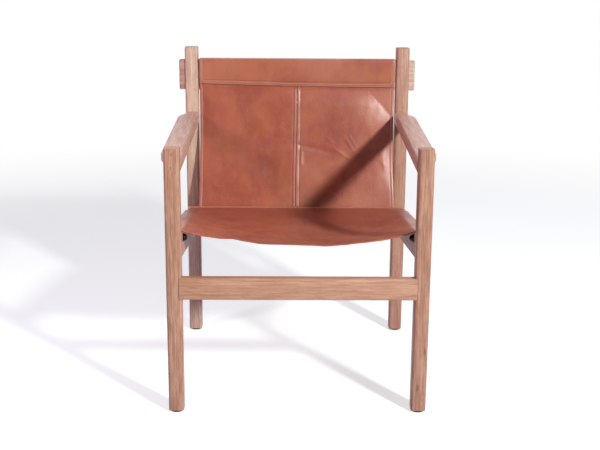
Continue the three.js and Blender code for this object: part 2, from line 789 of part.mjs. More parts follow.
/** A sheet whose rows follow a path in the Y-Z plane, on the path's left, and whose columns run along X. */
function pathSheet(path, columnsAt, thickness) {
  return thickSheet(path.map((p) => columnsAt(p.y).map((x) => new THREE.Vector3(x, p.x, p.y))), thickness);
}

const leanFoot = new THREE.Vector2(backSlingY, rearRailTop);
const leanHead = new THREE.Vector2(crestFrontY - LAY - LEATHER_THICKNESS, crestBottom);

/** A point of the leaning stretch of the back's front face, bowed to the rear by its belly. */
function leanPoint(share, offset) {
  const p = leanFoot.clone().lerp(leanHead, share);
  return new THREE.Vector2(p.x + BACK_BELLY * Math.sin(share * Math.PI) + offset, p.y);
}

/** The sling is narrowest halfway up. */
function backHalfWidthAt(z) {
  const share = THREE.MathUtils.clamp((z - leanFoot.y) / (leanHead.y - leanFoot.y), 0, 1);
  return lerp(backFootHalfWidth, backHeadHalfWidth, share) - BACK_WAIST * Math.sin(share * Math.PI);
}

function backPanel(side) {
  const bend = LEAN_BEND_SHARE;
  const path = [
    new THREE.Vector2(leanFoot.x, rearBoltZ - BATTEN_HEIGHT / 2),
    new THREE.Vector2(leanFoot.x, rearBoltZ + BATTEN_HEIGHT / 2),
    ...spread(bend, 1 - bend, BACK_ROWS).map((share) => leanPoint(share, 0)),
    new THREE.Vector2(leanHead.x, leanHead.y + bend * (leanHead.y - leanFoot.y)),
    new THREE.Vector2(leanHead.x, leanHead.y + BACK_TOP_LAP),
  ];
  const columns = (z) => spread(side * backHalfWidthAt(z), side * SEAM_GAP / 2, BACK_COLUMNS);
  const sheet = pathSheet(path, (z) => (side < 0 ? columns(z) : columns(z).reverse()), -LEATHER_THICKNESS);
  return cut(sheet, atRearBolts(shankHole));
}

function seamStrip() {
  const offset = LEATHER_THICKNESS + LAY;
  const path = spread(LEAN_BEND_SHARE, STRIP_TOP_SHARE, BACK_ROWS).map((share) => leanPoint(share, offset));
  return pathSheet(path, () => [-SEAM_STRIP_WIDTH / 2, SEAM_STRIP_WIDTH / 2], -SEAM_STRIP_THICKNESS);
}

/** The band's inner path: up its front, round the crest rail, then down behind the panels. */
function bandPath() {
  const frontY = leanHead.x - LAY;
  const [topZ, backY] = [crestTop + LAY, crestBackY + LAY];
  const tailTop = leanPoint(BAND_TAIL_TOP_SHARE, LEATHER_THICKNESS + LAY);
  const tailEnd = leanPoint(BAND_TAIL_END_SHARE, LEATHER_THICKNESS + LAY);
  return bentPath([
    new THREE.Vector2(frontY, crestTop - BAND_FRONT_DROP),
    new THREE.Vector2(frontY, topZ),
    new THREE.Vector2(backY, topZ),
    new THREE.Vector2(backY, crestBottom - LAY),
    tailTop,
    tailEnd,
  ], CREST_EASE + LAY);
}

SIDES.forEach(([word, side]) => {
  addPiece(`back_panel_${word}`, backPanel(side), leather);
});
addPiece('back_seam_strip', seamStrip(), leather);
const bandColumns = () => [-backHeadHalfWidth, backHeadHalfWidth];
addPiece('back_band', pathSheet(bandPath(), bandColumns, LEATHER_THICKNESS), leather);

export default chair;
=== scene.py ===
"""A lounge chair: a square-post wooden frame that carries a leather seat sling and a leather back.

Metres, +Z up, the front faces -Y, the origin is on the floor under the middle. Left and right are
those of someone who stands in front of the chair and looks at it.
"""

import logging
import math
from collections.abc import Callable, Iterable, Sequence
from dataclasses import dataclass, field
from enum import Enum, IntEnum
from functools import reduce

import bmesh
import bpy
from mathutils import Matrix, Vector, noise


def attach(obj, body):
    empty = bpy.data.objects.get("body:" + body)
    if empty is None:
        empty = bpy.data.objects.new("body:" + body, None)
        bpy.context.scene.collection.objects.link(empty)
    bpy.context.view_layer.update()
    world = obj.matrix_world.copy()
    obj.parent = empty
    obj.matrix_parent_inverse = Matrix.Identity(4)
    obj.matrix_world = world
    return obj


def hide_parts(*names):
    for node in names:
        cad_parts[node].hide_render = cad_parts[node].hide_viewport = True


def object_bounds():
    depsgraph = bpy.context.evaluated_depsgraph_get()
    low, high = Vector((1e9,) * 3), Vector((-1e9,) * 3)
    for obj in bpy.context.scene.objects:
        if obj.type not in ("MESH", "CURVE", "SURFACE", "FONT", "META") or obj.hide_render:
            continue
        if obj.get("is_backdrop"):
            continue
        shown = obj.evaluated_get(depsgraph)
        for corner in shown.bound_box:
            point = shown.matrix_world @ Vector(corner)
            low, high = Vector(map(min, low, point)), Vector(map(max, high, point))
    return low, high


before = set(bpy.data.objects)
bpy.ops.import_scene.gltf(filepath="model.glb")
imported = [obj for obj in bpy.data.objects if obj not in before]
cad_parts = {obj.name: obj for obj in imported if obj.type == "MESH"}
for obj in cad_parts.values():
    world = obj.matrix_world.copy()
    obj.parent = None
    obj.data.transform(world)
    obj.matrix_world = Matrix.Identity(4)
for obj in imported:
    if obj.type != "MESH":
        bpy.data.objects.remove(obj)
CAD_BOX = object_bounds()
LOG = logging.getLogger("chair")
TOUCHING = 1e-5

Point = tuple[float, float, float]
Colour = tuple[float, float, float]
Piece = bpy.types.Object
Material = bpy.types.Material
Socket = bpy.types.NodeSocket
CornerTest = Callable[[Vector], bool]
EdgeTest = Callable[[Vector, Vector], bool]
CellTest = Callable[[int, int], bool]
CellGap = Callable[[int, int], float]
Table = tuple[tuple[float, float], ...]


class Side(Enum):
    """The two sides of the chair, each with the sign of its X."""

    LEFT = -1
    RIGHT = 1

    @property
    def word(self) -> str:
        """The side's word in a piece's name."""
        return self.name.lower()


class Axis(IntEnum):
    """An axis of the chair's frame."""

    X = 0
    Y = 1
    Z = 2


class LeatherFace(IntEnum):
    """The three finishes on one sheet of leather, in the order of its material slots."""

    GRAIN = 0
    FLESH = 1
    CUT_EDGE = 2


def mix(start: float, end: float, share: float) -> float:
    """A number between start and end."""
    return start + (end - start) * share


def limited(share: float) -> float:
    """A share that stays between 0 and 1."""
    return min(1.0, max(0.0, share))


def smooth(share: float) -> float:
    """An S-curve from 0 to 1."""
    share = limited(share)
    return share * share * (3 - 2 * share)


def bell(off: float, width: float) -> float:
    """A bell curve: 1 in the middle, next to 0 beyond twice the width."""
    return math.exp(-((off / width) ** 2))


def spread(first: float, last: float, count: int) -> list[float]:
    """Numbers from first to last in equal steps, both ends included."""
    return [mix(first, last, k / (count - 1)) for k in range(count)]


def along_table(table: Table, x: float) -> float:
    """Reads a table of places and values, with an S-curve between its rows.

    Args:
        table: Pairs of place and value, the places rising.
        x: The place to read.

    Returns:
        The value there, or the first or last one outside the table.
    """
    if x <= table[0][0]:
        return table[0][1]
    for (x0, v0), (x1, v1) in zip(table, table[1:]):
        if x <= x1:
            return mix(v0, v1, smooth((x - x0) / (x1 - x0)))
    return table[-1][1]


# -------------------- sizes that the pieces share


@dataclass(frozen=True)
class ChairSizes:
    """The places where the chair's pieces meet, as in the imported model."""

    post_centre: float = 0.280
    post_side: float = 0.035
    front_post_top: float = 0.619
    back_post_top: float = 0.788
    glide_height: float = 0.0035
    inner: float = 0.2625
    outer: float = 0.2975
    crest_top: float = 0.7545
    crest_height: float = 0.079
    crest_thickness: float = 0.020
    side_rail_front: float = 0.423
    side_rail_rear: float = 0.358
    side_rail_thickness: float = 0.025
    side_rail_height: float = 0.059
    rear_rail_front: float = 0.180
    rear_rail_back: float = 0.200
    rear_rail_height: float = 0.059
    rear_bolt_drop: float = 0.022
    arm_front: float = 0.5915
    arm_rear: float = 0.6175
    lay: float = 0.0003
    leather: float = 0.0032

    @property
    def crest_bottom(self) -> float:
        """Height of the crest rail's underside."""
        return self.crest_top - self.crest_height

    @property
    def rear_rail_top(self) -> float:
        """Height of the rear seat rail's top."""
        return self.side_rail_top(self.rear_rail_back)

    @property
    def rear_bolt_height(self) -> float:
        """Height of the bolts through the rear seat rail."""
        return self.rear_rail_top - self.rear_bolt_drop

    @property
    def skin(self) -> float:
        """How far the grain side of leather that lies on wood is from the wood."""
        return self.lay + self.leather

    def share_back(self, y: float) -> float:
        """How far back a place lies between the front posts, at 0, and the back posts, at 1."""
        return (y + self.inner) / (2 * self.inner)

    def side_rail_top(self, y: float) -> float:
        """Height of the side rails' top at a place from front to back."""
        return mix(self.side_rail_front, self.side_rail_rear, self.share_back(y))

    def arm_top(self, y: float) -> float:
        """Height of the arms' top at a place from front to back."""
        return mix(self.arm_front, self.arm_rear, self.share_back(y))

    def up_back(self, height: float) -> float:
        """How far up a height lies between the rear rail's top, at 0, and the crest rail, at 1."""
        return (height - self.rear_rail_top) / (self.crest_bottom - self.rear_rail_top)

    def back_height(self, share: float) -> float:
        """The height at a share of the way from the rear rail's top up to the crest rail."""
        return mix(self.rear_rail_top, self.crest_bottom, share)


SIZES = ChairSizes()


# -------------------- modelling with the operators


class Bench:
    """Steps of modelling by hand, each on one piece that lies alone on the bench."""

    @staticmethod
    def clear() -> None:
        """Deselects everything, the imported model's pieces too."""
        if bpy.context.object and bpy.context.object.mode != "OBJECT":
            bpy.ops.object.mode_set(mode="OBJECT")
        bpy.ops.object.select_all(action="DESELECT")

    @classmethod
    def take(cls, piece: Piece) -> None:
        """Makes a piece the only one selected."""
        cls.clear()
        bpy.context.view_layer.objects.active = piece
        piece.select_set(True)

    @classmethod
    def settle(cls, name: str) -> Piece:
        """Names the new primitive and puts its place into its mesh.

        Args:
            name: The piece's name.

        Returns:
            The piece, with its object at the origin.
        """
        piece = bpy.context.active_object
        piece.name = name
        piece.data.name = name
        cls.take(piece)
        bpy.ops.object.transform_apply(location=True, rotation=True, scale=True)
        return piece

    @classmethod
    def block(cls, name: str, low: Sequence[float], high: Sequence[float]) -> Piece:
        """Adds a block from its lowest to its highest corner."""
        cls.clear()
        low, high = Vector(low), Vector(high)
        bpy.ops.mesh.primitive_cube_add(size=1, location=(low + high) / 2)
        bpy.context.active_object.scale = high - low
        return cls.settle(name)

    @classmethod
    def drum(cls, name: str, radius: float, low: float, high: float, sides: int) -> Piece:
        """Adds an upright round or many-sided bar on the Z axis, from its low to its high end."""
        cls.clear()
        bpy.ops.mesh.primitive_cylinder_add(
            vertices=sides, radius=radius, depth=high - low, location=(0, 0, (low + high) / 2)
        )
        return cls.settle(name)

    @classmethod
    def pick(cls, piece: Piece, kind: str, wanted: CornerTest | EdgeTest) -> None:
        """Opens a piece in edit mode with the wanted corners or edges selected.

        Args:
            piece: The piece.
            kind: VERT for corners, EDGE for edges.
            wanted: Whether one is wanted, from its place or from the places of its two ends.
        """
        cls.take(piece)
        bpy.ops.object.mode_set(mode="EDIT")
        bpy.ops.mesh.select_mode(type=kind)
        bpy.ops.mesh.select_all(action="DESELECT")
        mesh = bmesh.from_edit_mesh(piece.data)
        for part in mesh.verts if kind == "VERT" else mesh.edges:
            ends = [part] if kind == "VERT" else part.verts
            if wanted(*(end.co for end in ends)):
                part.select_set(True)
        if kind == "VERT":
            mesh.select_flush(True)
        bmesh.update_edit_mesh(piece.data)

    @classmethod
    def round_edges(cls, piece: Piece, wanted: EdgeTest, radius: float, steps: int) -> None:
        """Bevels the wanted edges to a radius."""
        cls.pick(piece, "EDGE", wanted)
        bpy.ops.mesh.bevel(offset=radius, segments=steps, profile=0.5, affect="EDGES")
        bpy.ops.object.mode_set(mode="OBJECT")

    @classmethod
    def shift(cls, piece: Piece, wanted: CornerTest, by: Sequence[float]) -> None:
        """Moves the wanted corners."""
        cls.pick(piece, "VERT", wanted)
        bpy.ops.transform.translate(value=tuple(by))
        bpy.ops.object.mode_set(mode="OBJECT")

    @classmethod
    def saw(cls, piece: Piece, at: Sequence[float], axis: Axis, **settings: object) -> None:
        """Cuts across a piece at places along an axis."""
        normal = [1.0 if axis == k else 0.0 for k in range(3)]
        cls.take(piece)
        bpy.ops.object.mode_set(mode="EDIT")
        for place in at:
            bpy.ops.mesh.select_all(action="SELECT")
            bpy.ops.mesh.bisect(plane_co=[n * place for n in normal], plane_no=normal, **settings)
        bpy.ops.object.mode_set(mode="OBJECT")

    @classmethod
    def finish(cls, piece: Piece, kind: str, **settings: object) -> None:
        """Adds a modifier, sets it and applies it."""
        cls.take(piece)
        modifier = piece.modifiers.new(kind.title(), kind)
        for key, value in settings.items():
            setattr(modifier, key, value)
        bpy.ops.object.modifier_apply(modifier=modifier.name)

    @classmethod
    def hollow(cls, piece: Piece, tool: Piece) -> None:
        """Cuts a tool's shape out of a piece and removes the tool."""
        cls.finish(piece, "BOOLEAN", object=tool, operation="DIFFERENCE", solver="EXACT")
        bpy.data.objects.remove(tool)

    @classmethod
    def join(cls, pieces: Sequence[Piece]) -> Piece:
        """Joins pieces into the first of them."""
        cls.clear()
        for piece in pieces:
            piece.select_set(True)
        bpy.context.view_layer.objects.active = pieces[0]
        bpy.ops.object.join()
        return pieces[0]

    @classmethod
    def soften(cls, piece: Piece, degrees: float = 35) -> Piece:
        """Shades a piece smooth, except over its sharp edges."""
        cls.take(piece)
        bpy.ops.object.shade_smooth_by_angle(angle=math.radians(degrees))
        return piece

    @staticmethod
    def copy(model: Piece, name: str, place: Matrix) -> Piece:
        """Copies a model with its own mesh, moved to its place in the mesh."""
        piece = model.copy()
        piece.data = model.data.copy()
        piece.name = name
        piece.data.name = name
        piece.data.transform(place)
        bpy.context.scene.collection.objects.link(piece)
        return piece


def runs_along(axis: Axis, least: float = 0.02) -> EdgeTest:
    """A test for edges that run mostly along an axis."""
    return lambda a, b: abs(a[axis] - b[axis]) > least


def lies_at(axis: Axis, *ends: float) -> EdgeTest:
    """A test for edges that lie wholly in one of the end faces across an axis."""
    return lambda a, b: any(abs(a[axis] - end) < TOUCHING > abs(b[axis] - end) for end in ends)


# -------------------- shader nodes


class Tree:
    """Adds nodes to one shader tree and wires them."""

    def __init__(self, tree: bpy.types.NodeTree) -> None:
        """Keeps the tree."""
        self.tree = tree

    def feed(self, node: bpy.types.Node, inputs: dict) -> bpy.types.Node:
        """Feeds a node.

        Args:
            node: The node.
            inputs: A socket or a constant for each input, by name or number. A colour of three
                numbers is opaque.

        Returns:
            The node.
        """
        for key, value in inputs.items():
            socket = node.inputs[key]
            if isinstance(value, Socket):
                self.tree.links.new(value, socket)
            elif socket.type == "RGBA":
                socket.default_value = (*value, 1)
            else:
                socket.default_value = value
        return node

    def node(self, kind: str, inputs: dict | None = None, **settings: object) -> bpy.types.Node:
        """Adds a node.

        Args:
            kind: The node's type without its ShaderNode prefix.
            inputs: What feeds it.
            settings: Values for the node's own properties.

        Returns:
            The node.
        """
        made = self.tree.nodes.new(f"ShaderNode{kind}")
        for key, value in settings.items():
            setattr(made, key, value)
        return self.feed(made, inputs or {})

    def place(self) -> Socket:
        """The piece's own coordinates."""
        return self.node("TexCoord").outputs["Object"]

    def attribute(self, name: str) -> Socket:
        """A number that the piece's mesh carries."""
        return self.node("Attribute", attribute_name=name).outputs["Fac"]

    def math(self, operation: str, *values: Socket | float) -> Socket:
        """Adds a Math node."""
        return self.node("Math", dict(enumerate(values)), operation=operation).outputs[0]

    def vector(self, operation: str, *values: Socket | Point) -> Socket:
        """Adds a Vector Math node, whose result is a number for a length or a dot product."""
        made = self.node("VectorMath", dict(enumerate(values)), operation=operation)
        return made.outputs["Value" if operation in ("LENGTH", "DOT_PRODUCT") else "Vector"]

    def scaled(self, vector: Socket, by: Point) -> Socket:
        """Multiplies a vector by three factors."""
        return self.vector("MULTIPLY", vector, by)

    def noise(
        self, vector: Socket, scale: Socket | float, detail: float = 2, rough: float = 0.5, warp: float = 0,
        output: str = "Fac",
    ) -> Socket:
        """Adds a Noise Texture node and gives one of its outputs."""
        inputs = {"Vector": vector, "Scale": scale, "Detail": detail, "Roughness": rough, "Distortion": warp}
        return self.node("TexNoise", inputs).outputs[output]

    def ramp(
        self, value: Socket | float, low: float, high: float, to: tuple[float, float] = (0, 1)
    ) -> Socket:
        """Maps a value from one range to another along an S-curve."""
        inputs = {"Value": value, "From Min": low, "From Max": high, "To Min": to[0], "To Max": to[1]}
        return self.node("MapRange", inputs, interpolation_type="SMOOTHSTEP").outputs[0]

    def blend(
        self, share: Socket | float, first: Socket | Colour, second: Socket | Colour, way: str = "MIX"
    ) -> Socket:
        """Mixes two colours by a share."""
        inputs = {0: share, 6: first, 7: second}
        return self.node("Mix", inputs, data_type="RGBA", blend_type=way).outputs[2]

    def layered(self, colour: Socket | Colour, *layers: tuple[Socket | float, float, Colour]) -> Socket:
        """Lays colours over another.

        Args:
            colour: The colour below.
            layers: For each layer its mask, how much of it shows at most, and its colour.

        Returns:
            The colour on top.
        """
        for mask, most, over in layers:
            colour = self.blend(self.math("MULTIPLY", mask, most), colour, over)
        return colour

    def bump(
        self, height: Socket, distance: float, strength: float = 1, normal: Socket | None = None
    ) -> Socket:
        """Adds a Bump node, on top of another where one is given."""
        inputs = {"Height": height, "Distance": distance, "Strength": strength}
        if normal is not None:
            inputs["Normal"] = normal
        return self.node("Bump", inputs).outputs[0]


class SharedEffect:
    """An effect that several materials use, as a shader node group that is made once."""

    name = ""
    takes: dict[str, tuple[str, float]] = {}

    @classmethod
    def group(cls) -> bpy.types.NodeTree:
        """The effect's node group, made at the first call."""
        if cls.name in bpy.data.node_groups:
            return bpy.data.node_groups[cls.name]
        made = bpy.data.node_groups.new(cls.name, "ShaderNodeTree")
        for label, (kind, default) in cls.takes.items():
            socket = made.interface.new_socket(name=label, in_out="INPUT", socket_type=f"NodeSocket{kind}")
            if kind == "Float":
                socket.default_value = default
        start = made.nodes.new("NodeGroupInput")
        end = made.nodes.new("NodeGroupOutput")
        results = cls.wire(Tree(made), start.outputs)
        for label in results:
            made.interface.new_socket(name=label, in_out="OUTPUT", socket_type="NodeSocketFloat")
        for label, socket in results.items():
            made.links.new(socket, end.inputs[label])
        return made

    @classmethod
    def on(cls, tree: Tree, inputs: dict) -> bpy.types.NodeOutputs:
        """Places the effect in a tree, fed by the inputs, and gives its outputs."""
        return tree.node("Group", inputs, node_tree=cls.group()).outputs

    @classmethod
    def wire(cls, tree: Tree, given: bpy.types.NodeOutputs) -> dict[str, Socket]:
        """Makes the effect's nodes.

        Args:
            tree: The group's tree.
            given: The sockets of the group's inputs.

        Returns:
            The socket of each output, by its name.
        """
        raise NotImplementedError


class WoodFigure(SharedEffect):
    """Growth rings, streaks, fibres and open pores of wood whose grain runs along Z."""

    name = "wood_figure"
    takes = {
        "Vector": ("Vector", 0),
        "Ring Gap": ("Float", 0.0032),
        "Wander": ("Float", 0.012),
        "Swell": ("Float", 0.0),
    }

    @classmethod
    def wire(cls, tree: Tree, given: bpy.types.NodeOutputs) -> dict[str, Socket]:
        """Makes the nodes of the figure."""
        vector = given["Vector"]
        slow = tree.noise(tree.scaled(vector, (1, 1, 0.22)), 11, 2, 0.45, output="Color")
        off = tree.vector("SUBTRACT", slow, (0.5, 0.5, 0.5))
        sway = tree.node("CombineXYZ", {0: given["Wander"], 1: given["Wander"], 2: 0.0}).outputs[0]
        moved = tree.vector("MULTIPLY_ADD", off, sway, vector)
        away = tree.vector("LENGTH", tree.scaled(moved, (1, 1, 0)))
        reach = tree.math("ADD", away, given["Swell"])
        phase = tree.math("FRACT", tree.math("DIVIDE", reach, given["Ring Gap"]))
        late = tree.ramp(phase, 0.25, 0.93)
        ring = tree.math("MULTIPLY", late, tree.ramp(phase, 1.0, 0.95))
        year = tree.noise(tree.scaled(moved, (90, 90, 1.5)), 1, 1)
        masks = {
            label: tree.ramp(tree.noise(tree.scaled(moved, (across, across, along)), 1, 3, rough), low, high)
            for label, across, along, rough, low, high in (
                ("Streak", 330, 4, 0.6, 0.32, 0.68),
                ("Flame", 135, 13, 0.62, 0.34, 0.66),
                ("Fleck", 400, 75, 0.6, 0.56, 0.70),
            )
        }
        fibre = tree.noise(tree.scaled(moved, (1900, 1900, 26)), 1, 2, 0.6)
        dash = tree.noise(tree.scaled(moved, (1250, 1250, 42)), 1, 1, 0.4)
        pore = tree.math("MULTIPLY", tree.ramp(dash, 0.60, 0.70), tree.ramp(phase, 0.62, 0.15))
        drift = tree.noise(tree.scaled(vector, (6, 6, 1.6)), 1, 2)
        cloud = tree.math("ADD", tree.math("MULTIPLY", year, 0.6), tree.math("MULTIPLY", drift, 0.4))
        height = tree.math("SUBTRACT", tree.math("MULTIPLY", fibre, 0.45), pore)
        return {"Ring": ring, "Fibre": fibre, "Pore": pore, "Cloud": cloud, "Height": height, **masks}


class LeatherFigure(SharedEffect):
    """The cloudy dye, drag lines, pores and fine creases of full-grain leather on its flat pattern."""

    name = "leather_figure"
    takes = {"Vector": ("Vector", 0), "Pore Scale": ("Float", 800), "Cloud Scale": ("Float", 9)}

    @classmethod
    def wire(cls, tree: Tree, given: bpy.types.NodeOutputs) -> dict[str, Socket]:
        """Makes the nodes of the figure."""
        vector = given["Vector"]
        slow = tree.noise(vector, given["Cloud Scale"], 6, 0.62, warp=0.7)
        drag = tree.noise(tree.scaled(vector, (70, 22, 1)), 1, 4, 0.65)
        mottle = tree.noise(tree.scaled(vector, (1, 0.75, 1)), 27, 5, 0.6, warp=0.5)
        fine = tree.math("MULTIPLY_ADD", mottle, 0.30, tree.math("MULTIPLY", drag, 0.17))
        dye = tree.math("MULTIPLY_ADD", slow, 0.53, fine)
        cloud = tree.ramp(dye, 0.40, 0.60)
        flush = tree.ramp(tree.noise(tree.scaled(vector, (1, 0.7, 1)), 13, 4, 0.58), 0.50, 0.68)
        pull = tree.ramp(tree.noise(vector, 5.2, 3, 0.5), 0.42, 0.72)
        jitter = tree.noise(vector, 420, 2, output="Color")
        bent = tree.vector("MULTIPLY_ADD", jitter, (0.0012, 0.0012, 0), vector)
        inputs = {"Vector": bent, "Scale": given["Pore Scale"], "Randomness": 1.0}
        cells = tree.node("TexVoronoi", inputs, feature="F1").outputs["Distance"]
        pore = tree.ramp(cells, 0.05, 0.62)
        ridge = tree.node("TexNoise", {
            "Vector": bent, "Scale": 75, "Detail": 4, "Roughness": 0.55, "Offset": 1.0, "Gain": 1.2,
        }, noise_type="RIDGED_MULTIFRACTAL", normalize=False).outputs["Fac"]
        where = tree.ramp(tree.noise(vector, 16, 2), 0.44, 0.62)
        crease = tree.math("MULTIPLY", tree.ramp(ridge, 1.0, 2.0), where)
        scuff = tree.ramp(tree.noise(tree.scaled(vector, (160, 60, 1)), 1, 5, 0.7), 0.60, 0.74)
        grain = tree.noise(bent, 190, 4, 0.6)
        return {
            "Cloud": cloud, "Flush": flush, "Pull": pull, "Pore": pore, "Crease": crease, "Scuff": scuff,
            "Grain": grain,
        }


class SeamGroove(SharedEffect):
    """A mask along a line that keeps its distance from a cut edge."""

    name = "seam_groove"
    takes = {"Gap": ("Float", 1), "Offset": ("Float", 0.008), "Width": ("Float", 0.0016)}

    @classmethod
    def wire(cls, tree: Tree, given: bpy.types.NodeOutputs) -> dict[str, Socket]:
        """Makes the nodes of the mask."""
        off = tree.math("ABSOLUTE", tree.math("SUBTRACT", given["Gap"], given["Offset"]))
        return {"Mask": tree.ramp(tree.math("DIVIDE", off, given["Width"]), 1.0, 0.0)}


class EdgeWear(SharedEffect):
    """A broken mask over the rounded edges of a piece, from its rim attribute."""

    name = "edge_wear"
    takes = {"Vector": ("Vector", 0), "Rim": ("Float", 0)}

    @classmethod
    def wire(cls, tree: Tree, given: bpy.types.NodeOutputs) -> dict[str, Socket]:
        """Makes the nodes of the mask."""
        rub = tree.ramp(tree.noise(given["Vector"], 34, 4, 0.65), 0.40, 0.62)
        return {"Mask": tree.math("MULTIPLY", rub, given["Rim"])}


# -------------------- finishes


class Finish:
    """A finish: a material whose Principled BSDF node is fed by the finish's own nodes."""

    name: str

    def make(self) -> Material:
        """Builds the material."""
        material = bpy.data.materials.new(self.name)
        material.use_nodes = True
        tree = Tree(material.node_tree)
        shader = next(n for n in material.node_tree.nodes if n.type == "BSDF_PRINCIPLED")
        tree.feed(shader, self.surface(tree))
        return material

    def surface(self, tree: Tree) -> dict[str, Socket | float]:
        """Makes the finish's nodes.

        Args:
            tree: The material's tree.

        Returns:
            What feeds the Principled BSDF node.
        """
        raise NotImplementedError


@dataclass(frozen=True)
class Knot:
    """A knot on a piece: its place, and how far the grain bends round it."""

    place: Point
    reach: float = 0.030
    swell: float = 0.011


@dataclass(frozen=True)
class WoodFinish(Finish):
    """Oiled pale hardwood. The heart of the log lies at an offset from the piece, across its grain."""

    name: str
    grain: Axis
    heart: tuple[float, float] = (0.11, 0.05)
    along: float = 0.0
    tilt: float = 0.012
    light: Colour = (0.850, 0.530, 0.375)
    dark: Colour = (0.455, 0.205, 0.115)
    blush: Colour = (0.645, 0.345, 0.240)
    pore: Colour = (0.200, 0.082, 0.048)
    contrast: float = 1.0
    spread: float = 1.0
    ring_gap: float = 0.0034
    # tone and end_tone tint the piece; on the posts, the arms and the crest rail they are partly painted
    # light.
    tone: Colour = (1.0, 1.0, 1.0)
    end_tone: Colour | None = None
    toned_over: tuple[float, float] = (-0.3, 0.3)
    shine: float = 0.38
    roughness: float = 0.42
    knots: tuple[Knot, ...] = ()

    def turn(self) -> Point:
        """The rotation that brings the piece's grain onto Z, with a slight run-out."""
        turns = {
            Axis.X: (self.tilt, math.radians(-90), 0.0),
            Axis.Y: (math.radians(90) + self.tilt, self.tilt, 0.0),
            Axis.Z: (self.tilt, self.tilt * 0.7, 0.0),
        }
        return turns[self.grain]

    def knotted(self, tree: Tree, place: Socket) -> tuple[Socket | float, Socket | float]:
        """Makes the masks of the knots.

        Args:
            tree: The material's tree.
            place: The piece's coordinates.

        Returns:
            How far the rings bend outwards, and the mask of the dark hearts.
        """
        swell, heart = 0.0, 0.0
        squeeze = [1.0, 1.0, 1.0]
        squeeze[self.grain] = 0.36
        for knot in self.knots:
            apart = tree.scaled(tree.vector("SUBTRACT", place, knot.place), tuple(squeeze))
            gap = tree.vector("LENGTH", apart)
            swell = tree.math("ADD", swell, tree.ramp(gap, knot.reach, 0.0, (0.0, knot.swell)))
            heart = tree.math("MAXIMUM", heart, tree.ramp(gap, knot.reach * 0.17, knot.reach * 0.05))
        return swell, heart

    def toned(self, tree: Tree, place: Socket, colour: Socket) -> Socket:
        """Tints the piece, from one end to the other where the tone of its far end is given; on the posts,
        the arms and the crest rail the tint is partly painted light.
        """
        tint = self.tone
        if self.end_tone:
            along = tree.node("SeparateXYZ", {0: place}).outputs[self.grain]
            tint = tree.blend(tree.ramp(along, *self.toned_over), self.tone, self.end_tone)
        return tree.blend(1.0, colour, tint, "MULTIPLY")

    def surface(self, tree: Tree) -> dict[str, Socket | float]:
        """Makes the finish's nodes."""
        place = tree.place()
        turned = tree.node("Mapping", {
            "Vector": place, "Location": (self.heart[0], self.heart[1], self.along), "Rotation": self.turn(),
        }).outputs[0]
        swell, heart = self.knotted(tree, place)
        figure = WoodFigure.on(tree, {"Vector": turned, "Ring Gap": self.ring_gap, "Swell": swell})
        tone = 0.5 * (1 - self.spread)
        for label, share in (("Ring", 0.18), ("Flame", 0.42), ("Streak", 0.26), ("Fibre", 0.26)):
            tone = tree.math("MULTIPLY_ADD", figure[label], share * self.spread, tone)
        base = tree.blend(tree.math("MULTIPLY", tone, self.contrast), self.light, self.dark)
        tinted = tree.blend(tree.ramp(figure["Cloud"], 0.40, 0.62, (0.0, 0.45)), base, self.blush)
        worn = EdgeWear.on(tree, {"Vector": place, "Rim": tree.attribute("rim")})["Mask"]
        marked = tree.layered(
            tinted, (worn, 0.35, tuple(c * 0.62 for c in self.dark)), (figure["Fleck"], 0.32, self.dark),
            (figure["Pore"], 0.55, self.pore), (heart, 0.6, self.pore),
        )
        return {
            "Base Color": self.toned(tree, place, marked),
            "Roughness": tree.math("MULTIPLY_ADD", figure["Fibre"], 0.16, self.roughness),
            "Normal": tree.bump(figure["Height"], 0.00022, 0.55),
            "Specular IOR Level": self.shine,
        }


